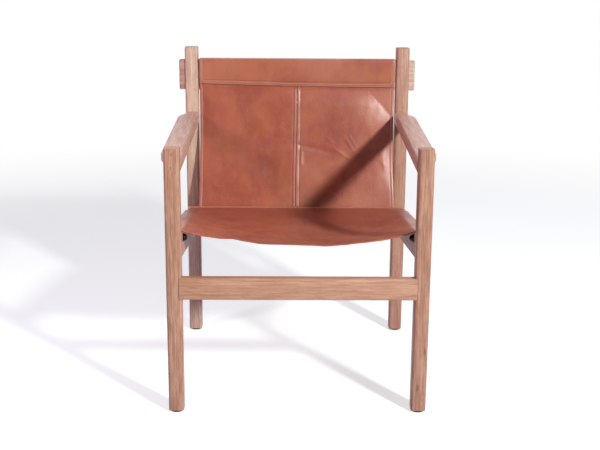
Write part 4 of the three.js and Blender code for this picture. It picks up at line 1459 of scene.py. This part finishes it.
class LeatherSheet:
    """One sheet of leather, from the rows of points on its grain side."""

    def __init__(
        self, name: str, rows: Sequence[Sequence[Vector]], thickness: float = SIZES.leather
    ) -> None:
        """Keeps the rows, which run from left to right as the grain side is seen."""
        self.name = name
        self.rows = rows
        self.thickness = thickness
        self.flat_area = 0.0
        self.piece: Piece | None = None

    def pattern(self) -> list[list[tuple[float, float]]]:
        """The sheet's flat pattern: how far each point lies along its row and its column."""
        middle = len(self.rows[0]) // 2
        along, down = [], 0.0
        for k, row in enumerate(self.rows):
            if k:
                down += (row[middle] - self.rows[k - 1][middle]).length
            steps = [0.0]
            for a, b in zip(row, row[1:]):
                steps.append(steps[-1] + (b - a).length)
            along.append([(s - steps[middle], down) for s in steps])
        return along

    def model(self, gaps: dict[str, CellGap], keep: CellTest = lambda row, column: True) -> Piece:
        """Models the sheet with its thickness and softened cut edges.

        Args:
            gaps: For each line of stitches, a function of row and column that gives the distance
                from the cut edge that the line follows.
            keep: Whether a cell of the grid, by row and column, is part of the cut.

        Returns:
            The sheet's piece, which it keeps too.
        """
        nx, ny = len(self.rows[0]) - 1, len(self.rows) - 1
        Bench.clear()
        bpy.ops.mesh.primitive_grid_add(x_subdivisions=nx, y_subdivisions=ny, size=1)
        piece = Bench.settle(self.name)
        mesh = piece.data
        pattern = self.pattern()
        mesh.vertices.foreach_set("co", [c for row in self.rows for point in row for c in point])
        for layer in list(mesh.uv_layers):
            mesh.uv_layers.remove(layer)
        uv = mesh.uv_layers.new(name="pattern").data
        for loop in mesh.loops:
            row, column = divmod(loop.vertex_index, nx + 1)
            uv[loop.index].uv = pattern[row][column]
        for label in ("side", "seam", "end"):
            measure = gaps.get(label, lambda row, column: 1.0)
            values = [measure(row, column) for row in range(ny + 1) for column in range(nx + 1)]
            mesh.attributes.new(f"{label}_gap", "FLOAT", "POINT").data.foreach_set("value", values)
        self.trim(piece, keep, nx)
        Bench.take(piece)
        bpy.ops.object.shade_smooth()
        Bench.finish(
            piece, "SOLIDIFY", thickness=self.thickness, offset=-1, use_even_offset=True,
            material_offset=LeatherFace.FLESH, material_offset_rim=LeatherFace.CUT_EDGE,
        )
        Bench.finish(
            piece, "BEVEL", width=0.0007, segments=2, limit_method="ANGLE", angle_limit=math.radians(62),
            miter_outer="MITER_ARC",
        )
        self.piece = Bench.soften(piece, degrees=50)
        return self.piece

    def declare(self, width: float, **says: object) -> None:
        """Args:
            width: The width of its cut. The length is the pattern's.
            says: What else is said of it, such as how it is held; not used.
        """
        size = (round(width, 3), round(self.pattern()[-1][0][1], 3))
        LOG.info("%s cut %.3f x %.3f m, %.4f m2", self.name, *size, self.flat_area)

    def trim(self, piece: Piece, keep: CellTest, nx: int) -> None:
        """Cuts away the cells that aren't part of the sheet and adds up the flat area of the rest."""
        cells = bmesh.new()
        cells.from_mesh(piece.data)
        layer = cells.loops.layers.uv["pattern"]
        waste = []
        for face in cells.faces:
            row, column = divmod(min(v.index for v in face.verts), nx + 1)
            if not keep(row, column):
                waste.append(face)
                continue
            flat = [loop[layer].uv for loop in face.loops]
            doubled = sum(a.x * b.y - b.x * a.y for a, b in zip(flat, flat[1:] + flat[:1]))
            self.flat_area += abs(doubled) / 2
        bmesh.ops.delete(cells, geom=waste, context="FACES")
        cells.to_mesh(piece.data)
        cells.free()


@dataclass
class LeatherSet:
    """The materials that all sheets share: the flesh side, the cut edge and the thread."""

    flesh: Material
    edge: Material
    thread: Material

    @classmethod
    def make(cls) -> "LeatherSet":
        """Builds the materials."""
        return cls(FleshFinish().make(), CutEdgeFinish().make(), ThreadFinish().make())

    def under(self, grain: LeatherFinish) -> list[Material]:
        """A sheet's materials with a finish for its grain side, in the order of LeatherFace."""
        return [grain.make(), self.flesh, self.edge]


@dataclass
class StitchRow:
    """A row of stitches on a leather surface, from one place to another."""

    name: str
    surface: Callable[[float, float], Vector]
    lines: Sequence[Callable[[float], tuple[float, float]]]
    counts: Sequence[int]
    length: float = 0.0044
    thickness: float = 0.0012

    def stitch(self) -> bpy.types.Mesh:
        """Models one stitch: a thread that rises from the leather and dives back into it."""
        Bench.clear()
        bpy.ops.mesh.primitive_uv_sphere_add(segments=8, ring_count=7, radius=0.5)
        bpy.context.active_object.scale = (self.thickness, self.length, self.thickness * 0.8)
        model = Bench.settle("stitch_model")
        Bench.shift(model, lambda p: abs(p.y) > 0.4 * self.length, (0, 0, -0.35 * self.thickness))
        mesh = model.data
        mesh.shade_smooth()
        bpy.data.objects.remove(model)
        return mesh

    def frames(self, line: Callable[[float], tuple[float, float]], count: int) -> Iterable[Matrix]:
        """The place of each stitch of one line: along it, on the surface, slightly slanted."""
        for k in range(count):
            share = (k + 0.5) / count
            (u0, v0), (u1, v1) = line(share - 0.2 / count), line(share + 0.2 / count)
            a, b = self.surface(u0, v0), self.surface(u1, v1)
            run = (b - a).normalized()
            u, v = line(share)
            across = self.surface(u + 0.002, v) - self.surface(u - 0.002, v)
            up = self.surface(u, v + 0.002) - self.surface(u, v - 0.002)
            normal = across.cross(up).normalized()
            side = run.cross(normal).normalized()
            slant = Matrix.Rotation(math.radians(5 + 2 * math.sin(k * 2.3)), 4, "Z")
            basis = Matrix((side, run, normal)).transposed().to_4x4()
            yield Matrix.Translation((a + b) / 2 + normal * 0.00012) @ basis @ slant

    def model(self) -> Piece:
        """Models the whole row as one piece."""
        stitch = self.stitch()
        row = bmesh.new()
        for line, count in zip(self.lines, self.counts):
            for place in self.frames(line, count):
                start = len(row.verts)
                row.from_mesh(stitch)
                row.verts.ensure_lookup_table()
                for corner in row.verts[start:]:
                    corner.co = place @ corner.co
        mesh = bpy.data.meshes.new(self.name)
        row.to_mesh(mesh)
        row.free()
        mesh.shade_smooth()
        piece = bpy.data.objects.new(self.name, mesh)
        bpy.context.scene.collection.objects.link(piece)
        return piece


@dataclass
class SeatSling(SubAssembly):
    """The seat leather: over the side rails and the rear rail, sagging between them."""

    leathers: LeatherSet
    front: float = -0.255
    flap: float = 0.036
    rear_flap: float = 0.034
    front_sag: float = 0.033
    middle_sag: float = 0.038
    low_point: float = 0.045
    deepest: float = 0.35
    rear_roll: float = 0.0040
    power: float = 2.6
    bend: float = 0.0085
    cell: float = 0.0055
    inset: float = 0.004
    wave_run: float = 0.15
    puff: float = 0.0016
    puff_run: float = 0.44
    front_wave: Table = (
        (-0.262, -0.0005), (-0.221, -0.0006), (-0.184, 0.0014), (-0.146, 0.0050), (-0.112, 0.0022),
        (-0.087, 0.0002), (-0.022, 0.0014), (0.022, 0.0006), (0.062, -0.0012), (0.100, 0.0010),
        (0.134, 0.0028), (0.160, 0.0026), (0.207, 0.0012), (0.235, -0.0008), (0.262, -0.0004),
    )

    def sag(self, share: float) -> float:
        """How deep the middle hangs at a share of the seat's length."""
        if share < self.deepest:
            return mix(self.front_sag, self.middle_sag, math.sin(share / self.deepest * math.pi / 2))
        return self.middle_sag * math.cos((share - self.deepest) / (1 - self.deepest) * math.pi / 2)

    def sag_share(self, x: float) -> float:
        """How much of the sag a place across the seat has."""
        rail = -self.sizes.inner if x < self.low_point else self.sizes.inner
        return 1 - min(1.0, abs((x - self.low_point) / (rail - self.low_point))) ** self.power

    def hang(self, x: float, y: float) -> float:
        """How far the leather hangs below the side rails' tops between them."""
        length = self.sizes.rear_rail_front - self.front
        share = limited((y - self.front) / length)
        wave = along_table(self.front_wave, x) * (1 - smooth((y - self.front) / self.wave_run))
        ripple = 0.0007 * noise.noise(Vector((x * 14, y * 11, 3.1))) * smooth(share * 8)
        ripple *= smooth((1 - share) * 5)
        shares = self.sag_share(x)
        return self.sag(share) * shares - wave - ripple * min(1.0, 3 * shares)

    def cross_path(self) -> list[Vector]:
        """The right half of a cross-section: its flap and the bend over the rail, from below."""
        s = self.sizes
        outer = s.inner + s.side_rail_thickness + s.lay + s.leather
        corners = [
            Vector((outer, -self.flap)), Vector((outer, s.skin)), Vector((s.inner - self.inset, s.skin))]
        return even_path(bent_path(corners, self.bend, 8), self.cell)

    def rows(self) -> tuple[list[list[Vector]], int, int]:
        """The grain side's points.

        Returns:
            The rows, the number of columns in each flap, and the number of rows before the rear flap.
        """
        s = self.sizes
        flap = self.cross_path()[:-1]
        span, top = s.inner - self.inset, s.skin
        columns = spread(-span, span, round(2 * span / self.cell))

        def row(y: float, level: float, sagging: bool) -> list[Vector]:
            """One row of points across the seat, over rails whose tops are at a level."""
            puff = self.puff * math.sin(math.pi * limited((y - self.front) / self.puff_run))
            edge = lambda side: [
                Vector((side * (p.x + puff * self.puff_share(p.y, side)), y, level + p.y)) for p in flap
            ]
            middle = [Vector((x, y, level + top - (self.hang(x, y) if sagging else 0))) for x in columns]
            return [*edge(-1), *middle, *reversed(edge(1))]

        length = s.rear_rail_front - self.front
        ys = spread(self.front, s.rear_rail_front, round(length / self.cell))
        made = [row(y, s.side_rail_top(y), True) for y in ys]
        turn = [
            Vector((s.rear_rail_front, s.side_rail_top(s.rear_rail_front) + top)),
            Vector((s.rear_rail_back + top, s.rear_rail_top + top + self.rear_roll)),
            Vector((s.rear_rail_back + top, s.rear_rail_top - self.rear_flap)),
        ]
        rear = even_path(bent_path(turn, self.bend - 0.001, 8), self.cell)[1:]
        on_rail = sum(1 for p in rear if p.x < s.rear_rail_back - self.inset)
        made += [[Vector((q.x, p.x, p.y + q.z)) for q in row(p.x, -top, False)] for p in rear]
        return made, len(flap), len(ys) + on_rail

    def puff_share(self, height: float, side: float) -> float:
        """How far up the side bend the leather stands away from the rail, more so on the left."""
        return smooth((height + 0.016) / 0.014) * (1.0 if side < 0 else 0.25)

    def build(self) -> None:
        rows, flap, stop = self.rows()
        last = len(rows[0]) - 1
        sheet = LeatherSheet("seat_sling_leather", rows)
        pattern = sheet.pattern()
        keep = lambda row, column: row < stop or flap <= column < last - flap
        side = lambda row, column: min(
            pattern[row][column][0] - pattern[row][0][0], pattern[row][last][0] - pattern[row][column][0])
        piece = sheet.model({"side": side}, keep)
        # The seat's pale colour is its painted highlight along the rear bend, and rear_shade its painted
        # shade towards the rear.
        finish = LeatherFinish(
            "leather_seat", deep=(0.335, 0.082, 0.048), body=(0.525, 0.156, 0.076),
            warm=(0.590, 0.208, 0.118), pale=(0.640, 0.285, 0.150), side_stitch=-1, along=1.7, gloss=0.60,
            rear_shade=0.85,
        )
        self.dress(piece, "seat_leather", self.leathers.under(finish), ["seat_sling"])
        sheet.declare(
            pattern[0][last][0] - pattern[0][0][0], held="hung", area=round(sheet.flat_area, 4),
            rests_on=["side_rail_left_board", "side_rail_right_board", "rear_seat_rail_board"],
        )


@dataclass
class BackSling(SubAssembly):
    """The back leather: two sewn panels, the strip behind their seam and the band round the crest rail."""

    leathers: LeatherSet
    foot_half: float = 0.2615
    head_half: float = 0.2592
    panel_cut: float = 0.262
    waist: float = 0.0018
    belly: float = 0.005
    top_lap: float = 0.062
    seam_half: float = 0.00006
    seam_drift: float = -0.0030
    hem: float = 0.008
    seam_hem: float = 0.0042
    band_hem: float = 0.0080
    cell: float = 0.0030
    fine_cell: float = 0.0011
    fine_columns: int = 15
    free_columns: int = 78
    strip_half: float = 0.013
    strip_thickness: float = 0.002
    strip_gap: float = 0.0012
    foot_lap: float = 0.015
    stitches_from: float = 0.004
    stitches_to: float = 0.6835
    band_bend: float = 0.0062
    band_tail: tuple[float, float] = (0.965, 0.90)
    tail_gap: float = 0.0002
    curl_margin: float = 0.048
    foot_y: float = 0.2038
    head_y: float = 0.2665
    band_edge: Table = (
        (-0.258, 0.6918), (-0.178, 0.6902), (-0.099, 0.6882), (-0.019, 0.6861), (0.061, 0.6852),
        (0.141, 0.6845), (0.258, 0.6840),
    )
    waves: tuple[tuple[float, float, float, float], ...] = (
        (0.0014, 9, 7, 0.7), (0.0006, 24, 19, 5.2), (0.0003, 55, 38, 8.8))
    creases: tuple[Crease, ...] = (
        Crease((0.120, 0.760), (0.246, 0.613), 0.100, 0.0205, 0.150),
        Crease((0.129, 0.5525), (0.153, 0.5157), 0.0032, 0.0007),
        Crease((0.1396, 0.559), (0.1585, 0.526), 0.0032, 0.0005),
        Crease((0.0964, 0.526), (0.1396, 0.497), 0.0034, 0.0008),
        Crease((0.080, 0.5525), (0.0964, 0.5367), 0.0040, 0.0005),
        Crease((0.0127, 0.537), (0.0248, 0.529), 0.0028, 0.0006),
        Crease((0.0073, 0.533), (0.0829, 0.5157), 0.0062, -0.0015),
        Crease((0.2320, 0.540), (0.2355, 0.470), 0.0046, 0.0007),
        Crease((0.2180, 0.530), (0.2300, 0.495), 0.0040, 0.0005),
        Crease((0.2200, 0.500), (0.2330, 0.480), 0.0036, 0.0005),
        Crease((0.0140, 0.512), (0.0145, 0.482), 0.0036, 0.0013),
        Crease((-0.110, 0.610), (-0.075, 0.560), 0.0160, 0.0012),
        Crease((-0.150, 0.500), (-0.060, 0.470), 0.0200, -0.0012),
    )

    def lean(self, height: float) -> float:
        """Where the front face of the leaning stretch lies at a height, bowed back by its belly."""
        share = self.sizes.up_back(height)
        if share <= 0:
            return self.foot_y
        if share >= 1:
            return self.head_y
        return mix(self.foot_y, self.head_y, share) + self.belly * math.sin(share * math.pi)

    def half_width(self, height: float) -> float:
        """Half of the back's width at a height: narrowest halfway up."""
        share = limited(self.sizes.up_back(height))
        return mix(self.foot_half, self.head_half, share) - self.waist * math.sin(share * math.pi)

    def front_face(self, x: float, height: float) -> Vector:
        """A point of the panels' grain side, with its waves, its creases, its seam and its hems."""
        s = self.sizes
        loose = smooth((height - s.rear_rail_top - 0.012) / 0.06)
        loose *= smooth((s.crest_bottom + 0.008 - height) / 0.050)
        lift = sum(
            deep * noise.noise(Vector((x * across, height * up, seed)))
            for deep, across, up, seed in self.waves
        )
        lift += sum(crease.lift(x, height) for crease in self.creases)
        lift -= self.curl(x, height)
        near_seam = bell(x, 0.05)
        drift = self.seam_drift * smooth((0.60 - height) / 0.16) * near_seam
        out = lift * loose + self.seam_rise(x) + self.hem_rise(x, height)
        return Vector((x + drift, self.lean(height) - out, height))

    def curl(self, x: float, height: float) -> float:
        """How far the free side edges curl back, most where nothing stretches them."""
        share = max(0.0, 1 - (self.half_width(height) - abs(x)) / self.curl_margin)
        bow = bell(height - 0.490, 0.055)
        most = 0.0018 + 0.0042 * bow if x > 0 else 0.0026 + 0.0010 * bow
        return most * share * share

    def seam_rise(self, x: float) -> float:
        """How far the sewn edges stand up beside the middle seam and dip between the rows."""
        off = abs(x)
        welt = 0.0009 * bell(off - self.seam_hem, 0.0021)
        dip = 0.0006 * bell(off, 0.0014)
        foot = 0.0003 * bell(off - 0.0095, 0.0020)
        return welt - dip - foot

    def hem_rise(self, x: float, height: float) -> float:
        """How far the leather stands up between the side stitches and the free edge."""
        off = self.half_width(height) - abs(x)
        return 0.0004 * bell(off - 0.0040, 0.0022) - 0.0005 * bell(off - self.hem, 0.0013)

    def heights(self) -> list[float]:
        """Heights of the panels' rows, from below the batten to inside the band."""
        s = self.sizes
        low, high = s.rear_bolt_height - self.foot_lap, s.crest_bottom + self.top_lap
        return spread(low, high, round((high - low) / self.cell))

    def columns(self, side: Side, height: float) -> list[float]:
        """Places across one panel at a height: close together at its seam and at its hem."""
        inside = [self.seam_half + self.fine_cell * k for k in range(self.fine_columns)]
        outside = [self.half_width(height) - self.fine_cell * k for k in range(self.fine_columns)]
        free = spread(inside[-1], outside[-1], self.free_columns)[1:-1]
        return sorted(side.value * x for x in [*inside, *free, *outside])

    def panel(self, side: Side) -> LeatherSheet:
        """Models one panel of the back."""
        heights = self.heights()
        places = [self.columns(side, z) for z in heights]
        rows = [[self.front_face(x, z) for x in row] for z, row in zip(heights, places)]
        sheet = LeatherSheet(f"back_panel_{side.word}_leather", rows)
        gaps = {
            "side": lambda row, column: self.half_width(heights[row]) - abs(places[row][column]),
            "seam": lambda row, column: abs(places[row][column]) - self.seam_half,
        }
        piece = sheet.model(gaps)
        finish = LeatherFinish(
            f"leather_back_{side.word}", along=0.31 + 0.9 * side.value, side_stitch=self.hem,
            seam_stitch=self.seam_hem, gloss=1.0 if side is Side.RIGHT else 0.32,
        )
        self.dress(piece, "back_leather", self.leathers.under(finish), [f"back_panel_{side.word}"])
        return sheet

    def band_profile(self) -> list[Vector]:
        """The band's outer path in Y and Z, without its front drop: up, over the rail, down and forward."""
        s = self.sizes
        thick = s.leather + s.lay
        front, back = self.head_y - thick, s.post_centre + s.crest_thickness / 2 + thick
        top, under = s.crest_top + thick, s.crest_bottom - thick
        tail = [s.back_height(share) for share in self.band_tail]
        return [
            Vector((front, 0)), Vector((front, top)), Vector((back, top)), Vector((back, under)),
            *(Vector((self.lean(z) + 2 * thick + self.tail_gap, z)) for z in tail),
        ]

    def band_front(self, x: float, z: float) -> Vector:
        """A point of the band's front face."""
        wave = 0.0006 * noise.noise(Vector((x * 10, z * 16, 9.4)))
        lower = smooth((0.75 - z) / 0.03)
        return Vector((x, self.head_y - self.sizes.leather - self.sizes.lay - wave * lower, z))

    def band(self) -> LeatherSheet:
        """Models the band: its lower edge isn't quite level, and its sleeve goes round the crest rail."""
        xs = spread(-self.head_half, self.head_half, 88)
        corners = self.band_profile()
        columns = []
        for x in xs:
            start = Vector((corners[0].x, along_table(self.band_edge, x)))
            bends = bent_path([start, *corners[1:]], self.band_bend, steps=7)
            straight = spread(start.y, bends[1].y, 14)[:-1]
            column = [self.band_front(x, z) for z in straight]
            column += [Vector((x, p.x, p.y)) for p in self.filled(bends[1:])]
            columns.append(column)
        rows = [list(row) for row in zip(*columns)]
        sheet = LeatherSheet("back_band_leather", rows)
        pattern = sheet.pattern()
        gaps = {
            "side": lambda row, column: self.head_half - abs(rows[row][column].x),
            "end": lambda row, column: pattern[row][column][1],
        }
        piece = sheet.model(gaps)
        finish = LeatherFinish(
            "leather_band", deep=(0.335, 0.092, 0.045), body=(0.445, 0.140, 0.062),
            warm=(0.515, 0.190, 0.100), side_stitch=self.hem, end_stitch=self.band_hem, along=2.9, gloss=0.80,
            presses=(0.0042, 0.0120),
        )
        self.dress(piece, "band_leather", self.leathers.under(finish), ["back_band"])
        return sheet

    def filled(self, points: Sequence[Vector]) -> list[Vector]:
        """The same count of points for every column: each straight of the sleeve in equal parts."""
        found = [points[0]]
        for a, b in zip(points, points[1:]):
            count = 12 if (b - a).length > 0.03 else 3 if (b - a).length > 0.008 else 1
            found.extend(a.lerp(b, k / count) for k in range(1, count + 1))
        return found

    def strip_rear(self, height: float) -> float:
        """Where the rear face of the strip behind the seam lies at a height."""
        behind = self.sizes.leather + self.sizes.lay + self.strip_gap
        return self.lean(height) + behind + self.strip_thickness

    def strip(self) -> LeatherSheet:
        """Models the strip behind the middle seam."""
        xs = spread(self.strip_half, -self.strip_half, 7)
        heights = spread(self.sizes.back_height(-0.01), self.sizes.back_height(0.885), 56)
        rows = [[Vector((x, self.strip_rear(z), z)) for x in xs] for z in heights]
        sheet = LeatherSheet("back_seam_strip_leather", rows, self.strip_thickness)
        gaps = {"side": lambda row, column: self.strip_half - abs(rows[row][column].x)}
        piece = sheet.model(gaps)
        finish = LeatherFinish("leather_strip", side_stitch=self.strip_half - self.seam_hem, along=4.4)
        self.dress(piece, "back_leather", self.leathers.under(finish), ["back_seam_strip"])
        return sheet

    def seams(self) -> dict[str, Piece]:
        """Models the rows of stitches on the panels and on the band."""
        s = self.sizes
        up = lambda t: mix(s.rear_rail_top - self.stitches_from, self.stitches_to, t)
        made = {}
        for side in Side:
            hem = lambda t, v=side.value: (v * (self.half_width(up(t)) - self.hem), up(t))
            seam = lambda t, v=side.value: (v * (self.seam_half + self.seam_hem), up(t))
            made[side.word] = StitchRow(
                f"panel_stitches_{side.word}", self.front_face, [hem, seam], [62, 62]).model()
        edge = lambda x: along_table(self.band_edge, x)
        reach = self.head_half - self.hem
        bottom = lambda t: (mix(-reach, reach, t), edge(mix(-reach, reach, t)) + self.band_hem)
        lines = [bottom]
        for side in Side:
            x = side.value * reach
            lines.append(lambda t, x=x: (x, mix(edge(x) + self.band_hem, s.crest_top - 0.005, t)))
        made["band"] = StitchRow("band_stitches", self.band_front, lines, [100, 12, 12]).model()
        behind = lambda x, z: Vector((-x, self.strip_rear(z), z))
        rise = lambda t: mix(s.rear_rail_top + 0.012, s.crest_bottom - 0.040, t)
        back = [lambda t, v=side.value: (v * self.seam_hem, rise(t)) for side in Side]
        made["strip"] = StitchRow("strip_stitches", behind, back, [52, 52]).model()
        for piece in made.values():
            self.dress(piece, "thread", [self.leathers.thread])
        return made

    def build(self) -> None:
        """Models the back and declares its sheets."""
        panels = {side: self.panel(side) for side in Side}
        band, strip, threads = self.band(), self.strip(), self.seams()
        for side, sheet in panels.items():
            sheet.declare(
                self.panel_cut, held="stretched", rests_on=["rear_seat_rail_board", "crest_rail_board"],
                with_pieces=[threads[side.word]],
            )
        band.declare(
            2 * self.head_half, held="folded", rests_on=["crest_rail_board"], with_pieces=[threads["band"]])
        strip.declare(
            2 * self.strip_half, held="stretched", rests_on=["back_panel_left_leather"],
            with_pieces=[threads["strip"]],
        )


# -------------------- the studio


@dataclass(frozen=True)
class StudioLamp:
    """A soft square lamp that stands off at an angle from the front."""

    name: str
    azimuth: float
    elevation: float
    distance: float
    size: float
    power: float
    colour: Colour = (1.0, 1.0, 1.0)
    aim: Point = (0.0, 0.0, 0.42)

    def place(self) -> None:
        """Adds the lamp."""
        az, el = math.radians(self.azimuth), math.radians(self.elevation)
        way = Vector((math.sin(az) * math.cos(el), -math.cos(az) * math.cos(el), math.sin(el)))
        Bench.clear()
        bpy.ops.object.light_add(type="AREA", location=Vector(self.aim) + way * self.distance)
        lamp = bpy.context.active_object
        lamp.name = self.name
        lamp.rotation_euler = way.to_track_quat("Z", "Y").to_euler()
        lamp.data.energy = self.power
        lamp.data.size = self.size
        lamp.data.color = self.colour


@dataclass
class Studio:
    """The camera, the lamps, the pale floor and the white surroundings."""

    eye: Point = (-0.030, -2.631, 1.048)
    yaw: float = 0.80
    pitch: float = 14.39
    roll: float = 0.43
    lens: float = 65.28
    lamps: tuple[StudioLamp, ...] = (
        StudioLamp(
            "key_lamp", azimuth=34.5, elevation=25.8, distance=4.2, size=0.32, power=166.0,
            colour=(1.0, 0.985, 0.965),
        ),
        StudioLamp(
            "fill_lamp", azimuth=-57.5, elevation=26.5, distance=1.17, size=0.16, power=3.5,
            colour=(1.0, 0.80, 1.0), aim=(-0.10, 0.20, 0.50),
        ),
        StudioLamp(
            "top_lamp", azimuth=10.0, elevation=80.0, distance=3.0, size=2.4, power=9.0,
            colour=(1.0, 0.93, 1.0),
        ),
    )
    white: Colour = (1.0, 1.0, 1.0)
    surroundings: Colour = (0.020, 0.004, 0.036)
    left_glow: Colour = (0.38, 0.27, 0.42)
    rear_glow: Colour = (0.95, 0.90, 0.90)
    seen_in_front: float = 0.10
    floor_seen: Colour = (0.72, 0.80, 0.80)
    floor_glow: float = 0.572
    floor_bounce: Colour = (0.28, 0.21, 0.32)
    fade: tuple[float, float] = (1.7, 3.4)

    def build(self) -> None:
        """Sets up the studio."""
        self.camera()
        for lamp in self.lamps:
            lamp.place()
        self.floor()
        self.world()
        bpy.context.scene.view_settings.view_transform = "Standard"

    def camera(self) -> None:
        """Adds the camera at the photograph's viewing angle."""
        yaw, pitch, roll = (math.radians(a) for a in (self.yaw, self.pitch, self.roll))
        ahead = Vector((math.sin(yaw) * math.cos(pitch), math.cos(yaw) * math.cos(pitch), -math.sin(pitch)))
        level = Vector((math.cos(yaw), -math.sin(yaw), 0))
        upward = level.cross(ahead)
        right = math.cos(roll) * level + math.sin(roll) * upward
        top = math.cos(roll) * upward - math.sin(roll) * level
        Bench.clear()
        bpy.ops.object.camera_add()
        camera = bpy.context.active_object
        camera.name = "camera"
        basis = Matrix((right, top, -ahead)).transposed().to_4x4()
        camera.matrix_world = Matrix.Translation(self.eye) @ basis
        camera.data.lens = self.lens
        camera.data.sensor_width = 36
        bpy.context.scene.camera = camera

    @staticmethod
    def emptied(owner: Material | bpy.types.World) -> Tree:
        """Gives a material or the world an empty tree."""
        owner.use_nodes = True
        owner.node_tree.nodes.clear()
        return Tree(owner.node_tree)

    def floor(self) -> None:
        """Adds the floor: it turns white away from the chair and takes the chair's shadow near it."""
        Bench.clear()
        bpy.ops.mesh.primitive_plane_add(size=40, location=(0, 12, -0.0002))
        piece = Bench.settle("studio_floor")
        material = bpy.data.materials.new("floor_paper")
        tree = self.emptied(material)
        place = tree.place()
        speck = tuple(c * 0.9 for c in self.floor_seen)
        paper = tree.layered(self.floor_seen, (tree.noise(place, 40, 4, 0.6), 0.10, speck))
        matt = tree.node("BsdfDiffuse", {"Color": paper}).outputs[0]
        glow = tree.node("Emission", {"Color": self.white, "Strength": self.floor_glow}).outputs[0]
        near = tree.node("AddShader", {0: matt, 1: glow}).outputs[0]
        far = tree.node("Emission", {"Color": self.white, "Strength": 1.0}).outputs[0]
        reach = tree.vector("LENGTH", tree.scaled(place, (1, 1, 0)))
        seen = tree.node("MixShader", {0: tree.ramp(reach, *self.fade), 1: near, 2: far}).outputs[0]
        dull = tree.node("BsdfDiffuse", {"Color": self.floor_bounce}).outputs[0]
        path = tree.node("LightPath").outputs
        mirrored = tree.math("MAXIMUM", path["Is Glossy Ray"], path["Is Transmission Ray"])
        looked_at = tree.math("MAXIMUM", path["Is Camera Ray"], mirrored)
        mixed = tree.node("MixShader", {0: looked_at, 1: dull, 2: seen}).outputs[0]
        tree.node("OutputMaterial", {"Surface": mixed})
        piece.data.materials.append(material)
        piece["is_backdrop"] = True

    def world(self) -> None:
        """Makes the surroundings: white where they are seen, dim behind the camera in reflections."""
        world = bpy.data.worlds.new("white_room")
        bpy.context.scene.world = world
        tree = self.emptied(world)
        way = tree.node("TexCoord").outputs["Generated"]
        leftward = tree.vector("DOT_PRODUCT", way, (-0.97, 0.22, 0.10))
        sided = tree.blend(tree.ramp(leftward, 0.60, 0.95), self.surroundings, self.left_glow)
        rearward = tree.vector("DOT_PRODUCT", way, (0.12, 0.96, 0.25))
        light = tree.blend(tree.ramp(rearward, 0.45, 0.90), sided, self.rear_glow)
        fill = tree.node("Background", {"Color": light, "Strength": 1.0}).outputs[0]
        white = tree.node("Background", {"Color": self.white, "Strength": 1.0}).outputs[0]
        forward = tree.node("SeparateXYZ", {0: way}).outputs["Y"]
        level = tree.ramp(forward, -0.25, 0.45, (self.seen_in_front, 1.0))
        mirrored = tree.node("Background", {"Color": self.white, "Strength": level}).outputs[0]
        path = tree.node("LightPath").outputs
        lit = tree.node("MixShader", {0: path["Is Glossy Ray"], 1: fill, 2: mirrored}).outputs[0]
        looked_at = tree.math("MAXIMUM", path["Is Camera Ray"], path["Is Transmission Ray"])
        mixed = tree.node("MixShader", {0: looked_at, 1: lit, 2: white}).outputs[0]
        tree.node("OutputWorld", {"Surface": mixed})


def write_sizes() -> None:
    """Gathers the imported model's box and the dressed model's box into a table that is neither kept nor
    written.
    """
    boxes = {"cad": CAD_BOX, "visual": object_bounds()}
    {name: [list(corner) for corner in box] for name, box in boxes.items()}


def main() -> None:
    """Builds the chair and its studio in order."""
    logging.basicConfig(level=logging.INFO, format="%(name)s: %(message)s")
    leathers = LeatherSet.make()
    for part in (WoodenFrame(), Fastenings(), SeatSling(leathers), BackSling(leathers), Studio()):
        LOG.info("building %s", type(part).__name__)
        part.build()
    Bench.clear()
    write_sizes()


if __name__ == "__main__":
    main()
